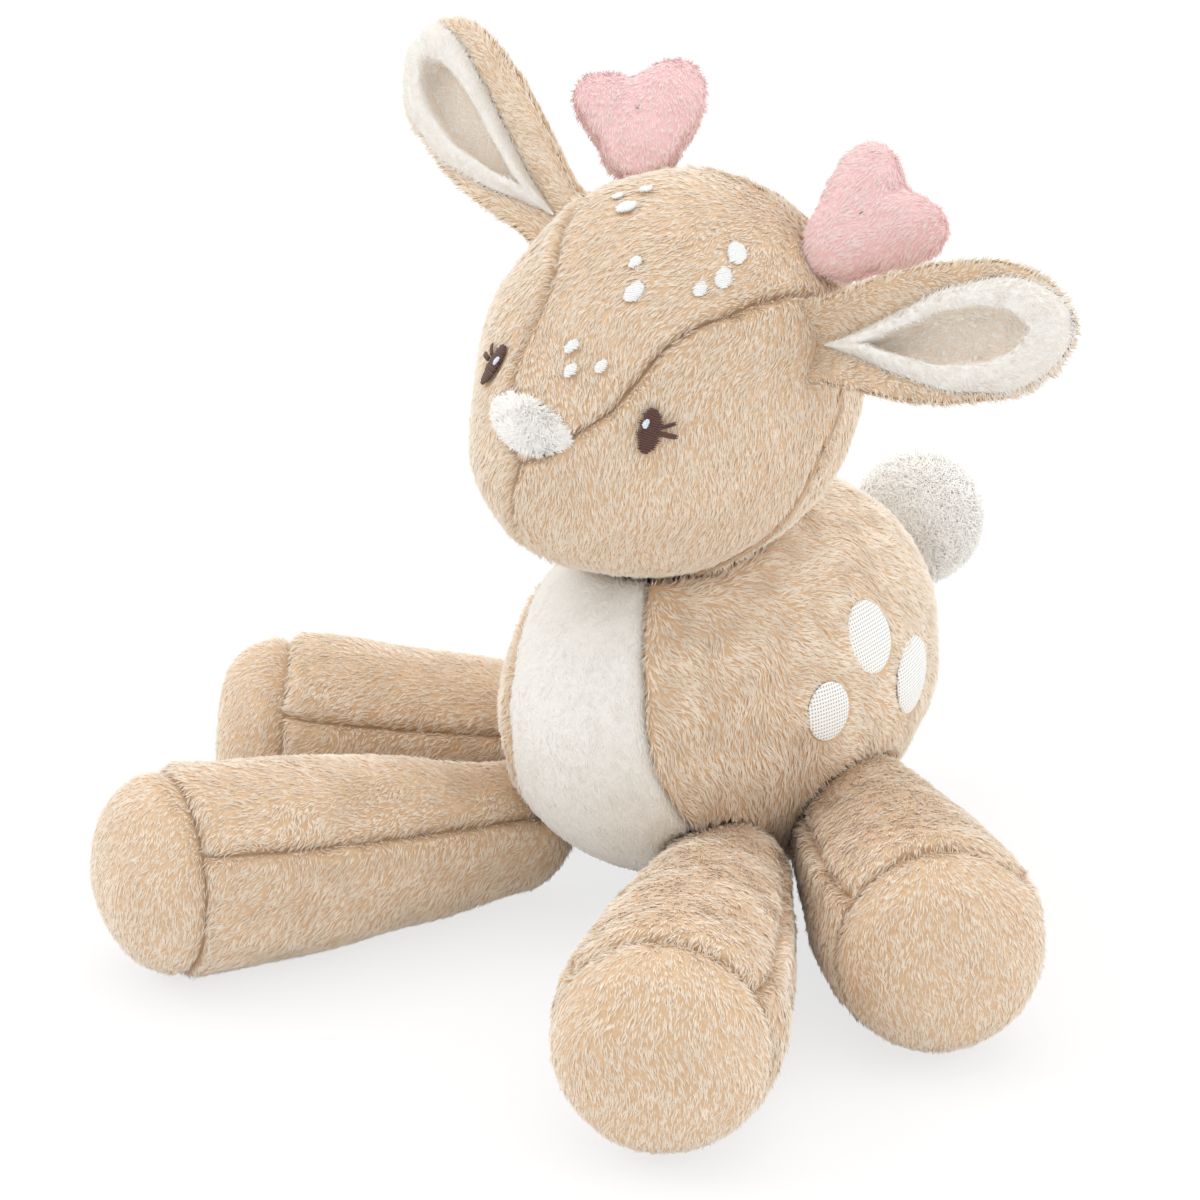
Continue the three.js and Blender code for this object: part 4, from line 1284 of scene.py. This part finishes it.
PINK = ("pink_plush", pink_backing, pink_threads)
for side in ("left", "right"):
    _, _, far, _ = seat_frame(ANTLERS[side])
    for seed, (word, sign) in enumerate((("front", 1), ("back", -1))):
        ring = np.sin(np.linspace(0, math.pi / 2, 26))[::-1][None, :]
        degrees = np.linspace(0, 360, 110)[:, None]
        reach = heart_reach(side, degrees) * ring
        puff = ANTLER_HALF * (1 - ring**2.6) ** 0.5 + 0 * degrees
        puff = puff * (1 - 0.3 * np.exp(-(((degrees + 180) % 360 - 180) / 22) ** 2) * ring**3)
        middle, grid = heart_grid(side, degrees, reach, sign * puff)
        skin = cloth(grid, middle, ("start",), wrap=True, groove=1.2, lumps=0.3)

        def antler_comb(points, far=far):
            """Brushed down to the root."""
            return points * 0 - far

        holder = head_blend("antler_" + side, ANTLERS[side], ANTLER_BLEND)
        sew(
            f"antler_{side}_{word}", skin, holder, PINK, 0.8, antler_comb, per_mm2=2.1,
            length=2.4, width=0.45, lift=17, swirl=35, seed=90 + seed, gather=0.3,
        )

# %% [markdown]
# The tail is a pompom: a small core with long soft threads that stand out all round. The
# nose is an oval of the same long pile, sewn on at the front of the gusset.

# %% Tail and nose
TAIL_ROOT, TAIL_REST = np.array((0, 83.712, 78)) * MM, math.radians(20)
TAIL_RADIUS = 21 * MM
tail_way = np.array((math.sin(TAIL_REST), math.cos(TAIL_REST), 0))
tail_middle = TAIL_ROOT + tail_way * 21.3 * MM
long_threads = thread_finish(
    "long_threads", (0.95, 0.94, 0.92), (0.985, 0.98, 0.97), (1.0, 1.0, 0.99), 0.96, 1.0
)


def ball(middle, radius):
    """Grid of a ball, with rows that go round from pole to pole."""
    up, turn = np.meshgrid(
        np.linspace(-math.pi / 2, math.pi / 2, 40), np.linspace(0, 2 * math.pi, 60)
    )
    ways = np.stack([np.cos(up) * np.cos(turn), np.cos(up) * np.sin(turn), np.sin(up)], -1)
    return middle + ways * radius


def tail_comb(points):
    """Brushed straight down."""
    return points * 0 + np.array((0, 0, -1))


LONG = ("white_long_pile", white_backing, long_threads)
sew(
    "tail_pompom", wrapped_skin(ball(tail_middle, TAIL_RADIUS - 2.4 * MM), tail_middle), "tail",
    LONG, 0.7, tail_comb, word="core", per_mm2=5.5, length=5.2, width=0.95, lift=24, stray=150,
    swirl=90, seed=120, sink=0.3, curl=0.3, tufts=0.25, gather=0.15,
)


def patch_grid(form, toward, wide, high, dome_height, outset, rings=24, power=2.0):
    """Domed oval on a form: outset + dome * (1 - r^power)^0.5 above its surface."""
    r = np.sin(np.linspace(math.pi / 2, 0, rings))[None, :]
    around = np.linspace(0, 2 * math.pi, 72)[:, None]
    lift = outset + dome_height * np.sqrt(np.maximum(1 - r**power, 0)) + 0 * around
    return on_patch(form, toward, wide * r * np.cos(around), high * r * np.sin(around), lift)


nose_grid = patch_grid(head, NOSE, *(NOSE_HALF * 0.86), 2.0 * MM, -1.3 * MM)
nose_middle = head.at(np.array(NOSE, float))


def nose_comb(points):
    """Brushed outwards from the patch's middle and a little down."""
    return unit(points - nose_middle) + np.array((0, 0, -0.4))


sew(
    "nose_patch", wrapped_skin(nose_grid, head.centre), "head", LONG, 0.5, nose_comb,
    per_mm2=9, length=3.0, width=0.6, lift=28, stray=50, swirl=60, rings=2, seed=121,
    curl=0.25, tufts=0.5, gather=0.35,
)

# %% [markdown]
# Embroidery is real thread: satin stitches laid side by side. Each stitch is a thin arched
# tube from one edge of the shape to the other, and the shape is filled with a row of them.

# %% Thread finishes and stitches
def yarn_finish(name, colour, shaded, roughness=0.6):
    """Twisted thread: two tints by fine noise."""
    f = Finish(name, Roughness=roughness, Sheen_Weight=0.1)
    grain = f.noise(f.place(), 2600.0, 2.0)
    f.colour(f.mixed(grain, tint(*shaded), tint(*colour)))
    f.relief(grain, 0.15 * MM)
    return f.material


brown_yarn = yarn_finish("brown_yarn", (0.46, 0.31, 0.26), (0.20, 0.12, 0.10))
pale_yarn = yarn_finish("pale_blue_yarn", (0.93, 0.95, 0.98), (0.78, 0.83, 0.90))
white_yarn = yarn_finish("white_yarn", (0.98, 0.98, 0.98), (0.88, 0.88, 0.87))


def stitches(form, toward, starts, ends, radius, base, arch, steps=7, sides=6):
    """Tubes between pairs of patch offsets. Height above the form: base + arch sin(pi s);
    the tube narrows to a point at both ends by (1 - (2 s - 1)^6)^0.5."""
    s = np.linspace(0, 1, steps)
    line = starts[:, None] + (ends - starts)[:, None] * s[None, :, None]
    lift = base + arch * np.sin(math.pi * s)[None] + 0 * line[..., 0]
    middle = on_patch(form, toward, line[..., 0], line[..., 1], lift)
    above = on_patch(form, toward, line[..., 0], line[..., 1], lift + 1 * MM)
    out = unit(above - middle)
    along = unit(np.gradient(middle, axis=1))
    across = np.cross(along, out)
    narrow = radius * np.sqrt(np.maximum(1 - (2 * s - 1) ** 6, 0.0))
    ring = np.linspace(0, 2 * math.pi, sides, endpoint=False)
    tube = middle[:, :, None] + narrow[None, :, None, None] * (
        np.cos(ring)[:, None] * across[:, :, None] + np.sin(ring)[:, None] * out[:, :, None]
    )
    count = len(starts)
    number = np.arange(count * steps * sides).reshape(count, steps, sides)
    a, b = number[:, :-1], number[:, 1:]
    c, d = np.roll(b, -1, 2), np.roll(a, -1, 2)
    triangles = np.concatenate([
        np.stack([a, b, c], -1).reshape(-1, 3), np.stack([a, c, d], -1).reshape(-1, 3)
    ])
    points, triangles = welded(tube.reshape(-1, 3), triangles)
    return points, outward_only(points, triangles, middle.reshape(-1, 3))


def outward_only(points, triangles, spine):
    """Turns all triangles round if the first fifty face the spine."""
    corner = points[triangles[:, 0]]
    facing = np.cross(points[triangles[:, 1]] - corner, points[triangles[:, 2]] - corner)
    beside = spine[np.argmin(((corner[:50, None] - spine[None]) ** 2).sum(-1), axis=1)]
    if (facing[:50] * (corner[:50] - beside)).sum() < 0:
        return triangles[:, ::-1]
    return triangles


def satin(wide, high, pitch, slant=0.0, ragged=0.12, seed=5):
    """Ends of the stitches that fill an oval, one pitch apart, with ragged ends."""
    pick = np.random.default_rng(seed)
    rows = np.arange(-high + pitch / 2, high, pitch)
    half = wide * np.sqrt(1 - (rows / high) ** 2)
    jitter = pick.normal(0, ragged, (2, len(rows))) * pitch
    starts = np.stack([-half + jitter[0], rows - slant * half], 1)
    ends = np.stack([half + jitter[1], rows + slant * half], 1)
    return starts, ends


def joined(*meshes):
    """Several (points, triangles) pairs as one."""
    points, triangles, count = [], [], 0
    for some, faces in meshes:
        points.append(some)
        triangles.append(faces + count)
        count += len(some)
    return np.concatenate(points), np.concatenate(triangles)


# %% [markdown]
# An eye is a tall dark oval of satin stitches with two straight lashes at its outer side
# and a small pale stitch of light near its top. The dots on the forehead are satin too.

# %% Eyes and dots
LASHES = ((27, 0.32, 4.0), (-3, 0.5, 4.3))
for side, sign in (("left", 1), ("right", -1)):
    toward = EYES[side]
    starts, ends = satin(3.6 * MM, 6.0 * MM, 0.62 * MM, slant=-0.1 * sign, ragged=0.45)
    parts = [stitches(head, toward, starts, ends, 0.38 * MM, 0.1 * MM, 0.3 * MM)]
    for degrees, radius, reach in LASHES:
        way = np.array((sign * math.cos(math.radians(degrees)), math.sin(math.radians(degrees))))
        for shift in (-0.28, 0.28):
            off = np.array((-way[1], way[0])) * shift * MM
            parts.append(stitches(
                head, toward, (way * 2.6 * MM + off)[None], (way * (3.4 + reach) * MM + off)[None],
                radius * MM, 0.45 * MM, 0.3 * MM,
            ))
    piece = make_piece(f"eye_{side}_stitches", *joined(*parts), brown_yarn)
    dress(piece, "head", f"eye_{side}")
    toward = SHINES[side]
    starts, ends = satin(0.95 * MM, 1.1 * MM, 0.45 * MM, ragged=0.3)
    shine = stitches(head, toward, starts, ends, 0.36 * MM, 0.75 * MM, 0.2 * MM)
    dress(make_piece(f"eye_{side}_shine_stitches", *shine, pale_yarn), "head",
          f"eye_{side}_shine")
for number, (toward, size) in enumerate(DOTS, 1):
    radius = DOT_RADIUS * size
    starts, ends = satin(radius, radius, 0.52 * MM, slant=0.25, ragged=0.35, seed=number)
    dot = stitches(head, toward, starts, ends, 0.33 * MM, -0.5 * MM, 0.45 * MM)
    dress(make_piece(f"forehead_dot_{number}_stitches", *dot, white_yarn), "head",
          f"forehead_dot_{number}")
print("eyes and dots stitched")

# %% [markdown]
# The flank spots are discs of fine white knit with a diagonal grid of small holes. The
# pattern follows the cloth, so each spot brings a flat map in units of one hole's pitch.

# %% Spots
def knit_finish(name, pale, hole):
    """White knit: holes where two sine waves at right angles both peak."""
    f = Finish(name, Roughness=0.8, Sheen_Weight=0.1)
    x, y, _ = f.split(f.flat("Knit"))
    waves = (x * (2 * math.pi)).sine() * (y * (2 * math.pi)).sine()
    open_share = ((waves - 0.35) * 2.2).kept()
    f.colour(f.mixed(open_share, tint(*pale), tint(*hole)))
    f.relief(1 - open_share, 0.4 * MM)
    return f.material


white_knit = knit_finish("white_knit", (0.97, 0.97, 0.96), (0.80, 0.79, 0.77))
KNIT_PITCH = 1.5 * MM
for side, sign in (("left", 1), ("right", -1)):
    for where, (toward, size) in SPOTS.items():
        way = (sign * toward[0], toward[1], toward[2])
        radius = SPOT_RADIUS * size
        grid = patch_grid(body, way, radius, radius, 0.9 * MM, -1.2 * MM, rings=22, power=4.0)
        skin = wrapped_skin(grid, body.centre)
        piece = cloth_piece(f"flank_spot_{side}_{where}_knit", skin, white_knit, 0.8 * MM)
        _, across, upward = patch_axes(way)
        corners = np.empty(len(piece.data.loops), np.int32)
        piece.data.loops.foreach_get("vertex_index", corners)
        places = np.empty(len(piece.data.vertices) * 3, np.float32)
        piece.data.vertices.foreach_get("co", places)
        places = places.reshape(-1, 3)[corners]
        flat = np.stack([places @ (across + upward), places @ (upward - across)], 1)
        flat = flat / math.sqrt(2) / KNIT_PITCH
        piece.data.uv_layers.new(name="Knit").data.foreach_set("uv", flat.astype(np.float32).ravel())
        dress(piece, "body", f"flank_spot_{side}_{where}")

# %% [markdown]
# Under the cloth lies loose fibre. It isn't seen, but the toy is built as the real one is,
# so each stuffed part has its own lumpy filling a little inside its cloth.

# %% Filling
def fibre_finish(name):
    """Matted fibre: fine noise over soft clumps."""
    f = Finish(name, Roughness=1.0)
    strands = f.noise(f.place(), 500.0, 5.0, 0.8)
    f.colour(f.mixed(strands, tint(0.86, 0.86, 0.85), tint(0.98, 0.98, 0.97)))
    f.relief(strands, 1.0 * MM)
    return f.material


fibre = fibre_finish("fibre_filling")
FILLING_FLOOR = 3.5 * MM


def filling(part, grid, middle, holder, inset, settle=False):
    """Closed ball-like grid drawn in and made lumpy; its rows go once round."""
    normals, _ = grid_normals(grid, middle, True)
    lumps = 0.9 * drift(grid, 14 * MM, 6)
    points = grid - normals * ((inset + lumps) * MM)[..., None]
    if settle:
        points = settled(points)
        points = points + unit(middle - points) * 3.5 * MM
    points[..., 2] = np.maximum(points[..., 2], FILLING_FLOOR)
    _, facing = grid_normals(points, middle, True)
    triangles = grid_triangles(*points.shape[:2])
    if facing < 0:
        triangles = triangles[:, ::-1]
    points, triangles = welded(points.reshape(-1, 3), triangles)
    piece = make_piece(part + "_filling", points, triangles, fibre)
    dress(piece, holder, part + "_stuffing")


round_up, round_side = np.meshgrid(
    np.linspace(0, 2 * math.pi, 80), np.linspace(-math.pi / 2, math.pi / 2, 40), indexing="ij"
)
filling("body", body.at(body.toward(round_up, round_side)), body.centre, "body", 4.5, True)
filling("head", head.at(head.toward(round_up, round_side)), head.centre, "head", 4.5)
for name in LEGS:
    rows = np.concatenate([leg_rows, sole_along[1:]])[None, ::2]
    reach = np.concatenate([root_radius(leg_rows), sole_radius[1:]])[None, ::2]
    reach = np.concatenate([reach, [[0.0]]], 1)
    rows = np.concatenate([rows, [[LEG_LENGTH + SOLE_DOME]]], 1)
    around = np.linspace(0, 2 * math.pi, 60)[:, None]
    middle = leg_hip(name) + leg_turn(name) @ np.array((0, -0.5 * LEG_LENGTH, 0))
    grid = leg_points(name, rows + 0 * around, around + 0 * rows, reach + 0 * around)
    filling("leg_" + name, grid, middle, hip_blend(name), 5.0)
for side in ("left", "right"):
    turn, up = np.meshgrid(
        np.linspace(0, 360, 60), np.linspace(-math.pi / 2, math.pi / 2, 24), indexing="ij"
    )
    reach = (heart_reach(side, turn) - 3.2 * MM) * np.cos(up)
    middle, grid = heart_grid(side, turn, reach, 5.2 * MM * np.sin(up))
    holder = head_blend("antler_" + side, ANTLERS[side], ANTLER_BLEND)
    filling("antler_" + side, grid, middle, holder, 0.5)
print("fillings made")

# %% [markdown]
# The toy stands on a plain white floor. The camera sees the floor and the world as white,
# while the lamps stay at a level at which a colour looks about as it is written.

# %% Floor, light and camera
def floor_finish():
    """White floor. To the camera and in reflections it is three quarters plain white, which
    keeps the shadow but makes it as faint as in a bright studio."""
    f = Finish("white_floor", Roughness=0.9)
    f.colour(tint(0.97, 0.97, 0.97))
    seen = f.node("ShaderNodeLightPath", output="Is Camera Ray")
    for other in ("Is Glossy Ray", "Is Transmission Ray"):
        seen = seen.maths("MAXIMUM", f.node("ShaderNodeLightPath", output=other))
    white = f.node("ShaderNodeEmission", {}, {"Color": (1, 1, 1, 1), "Strength": 1.0})
    lit = Wire(f, f.shader.outputs[0])
    both = f.node("ShaderNodeMixShader", {}, {0: seen * 0.75, 1: lit, 2: white})
    f.feed(f.tree.nodes["Material Output"].inputs["Surface"], both)
    return f.material


bpy.ops.mesh.primitive_plane_add(size=8, location=(0, 0, -0.0002))
floor = bpy.context.object
floor.name = "floor"
floor.data.materials.append(floor_finish())
floor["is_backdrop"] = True

LAMP_LEVEL = 0.84
world = bpy.data.worlds.new("studio")
bpy.context.scene.world = world
world.use_nodes = True
nodes, links = world.node_tree.nodes, world.node_tree.links
background = nodes["Background"]
path = nodes.new("ShaderNodeLightPath")
seen = path.outputs["Is Camera Ray"]
for ray in ("Is Glossy Ray", "Is Transmission Ray"):
    either = nodes.new("ShaderNodeMath")
    either.operation = "MAXIMUM"
    links.new(seen, either.inputs[0])
    links.new(path.outputs[ray], either.inputs[1])
    seen = either.outputs[0]
level = nodes.new("ShaderNodeMapRange")
level.inputs["To Min"].default_value = LAMP_LEVEL
level.inputs["To Max"].default_value = 1.0
links.new(seen, level.inputs["Value"])
links.new(level.outputs[0], background.inputs["Strength"])
background.inputs["Color"].default_value = (1, 1, 1, 1)


def lamp(name, place, spread, power):
    """Parallel light on the origin as from a wide softbox: spread is the angle it fills."""
    data = bpy.data.lights.new(name, "SUN")
    data.angle = math.radians(spread)
    data.energy = power
    made = bpy.data.objects.new(name, data)
    bpy.context.scene.collection.objects.link(made)
    aim(made, place, (0, 0, 0))


def aim(item, place, target):
    """Puts an object at a place with its own -Z axis towards the target."""
    back = unit(np.array(place, float) - np.array(target, float))
    right = unit(np.cross((0, 0, 1), back))
    turn = np.eye(4)
    turn[:3, :3] = np.stack([right, np.cross(back, right), back], 1)
    turn[:3, 3] = place
    item.matrix_world = Matrix(turn.tolist())


lamp("key", (-0.85, -0.45, 0.8), 40, 0.8)
lamp("top", (-0.1, 0.3, 1.2), 60, 0.85)
lamp("fill", (1.0, 0.25, 0.45), 60, 0.6)

camera_data = bpy.data.cameras.new("camera")
camera_data.lens = 104.5
camera_data.sensor_width = 36
camera = bpy.data.objects.new("camera", camera_data)
bpy.context.scene.collection.objects.link(camera)
CAMERA_PLACE, CAMERA_TARGET = (485.3, -811.9, 455.1), (-45.9, 2.5, 72.05)
aim(camera, np.array(CAMERA_PLACE) * MM, np.array(CAMERA_TARGET) * MM)
bpy.context.scene.camera = camera
bpy.context.scene.view_settings.view_transform = "Standard"

# %% The last checks
visual_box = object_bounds()
cad_size = np.subtract(cad_box[1], cad_box[0])
visual_size = np.subtract(visual_box[1], visual_box[0])
print("visual size minus CAD size in mm", np.round((visual_size - cad_size) / MM, 1).tolist())
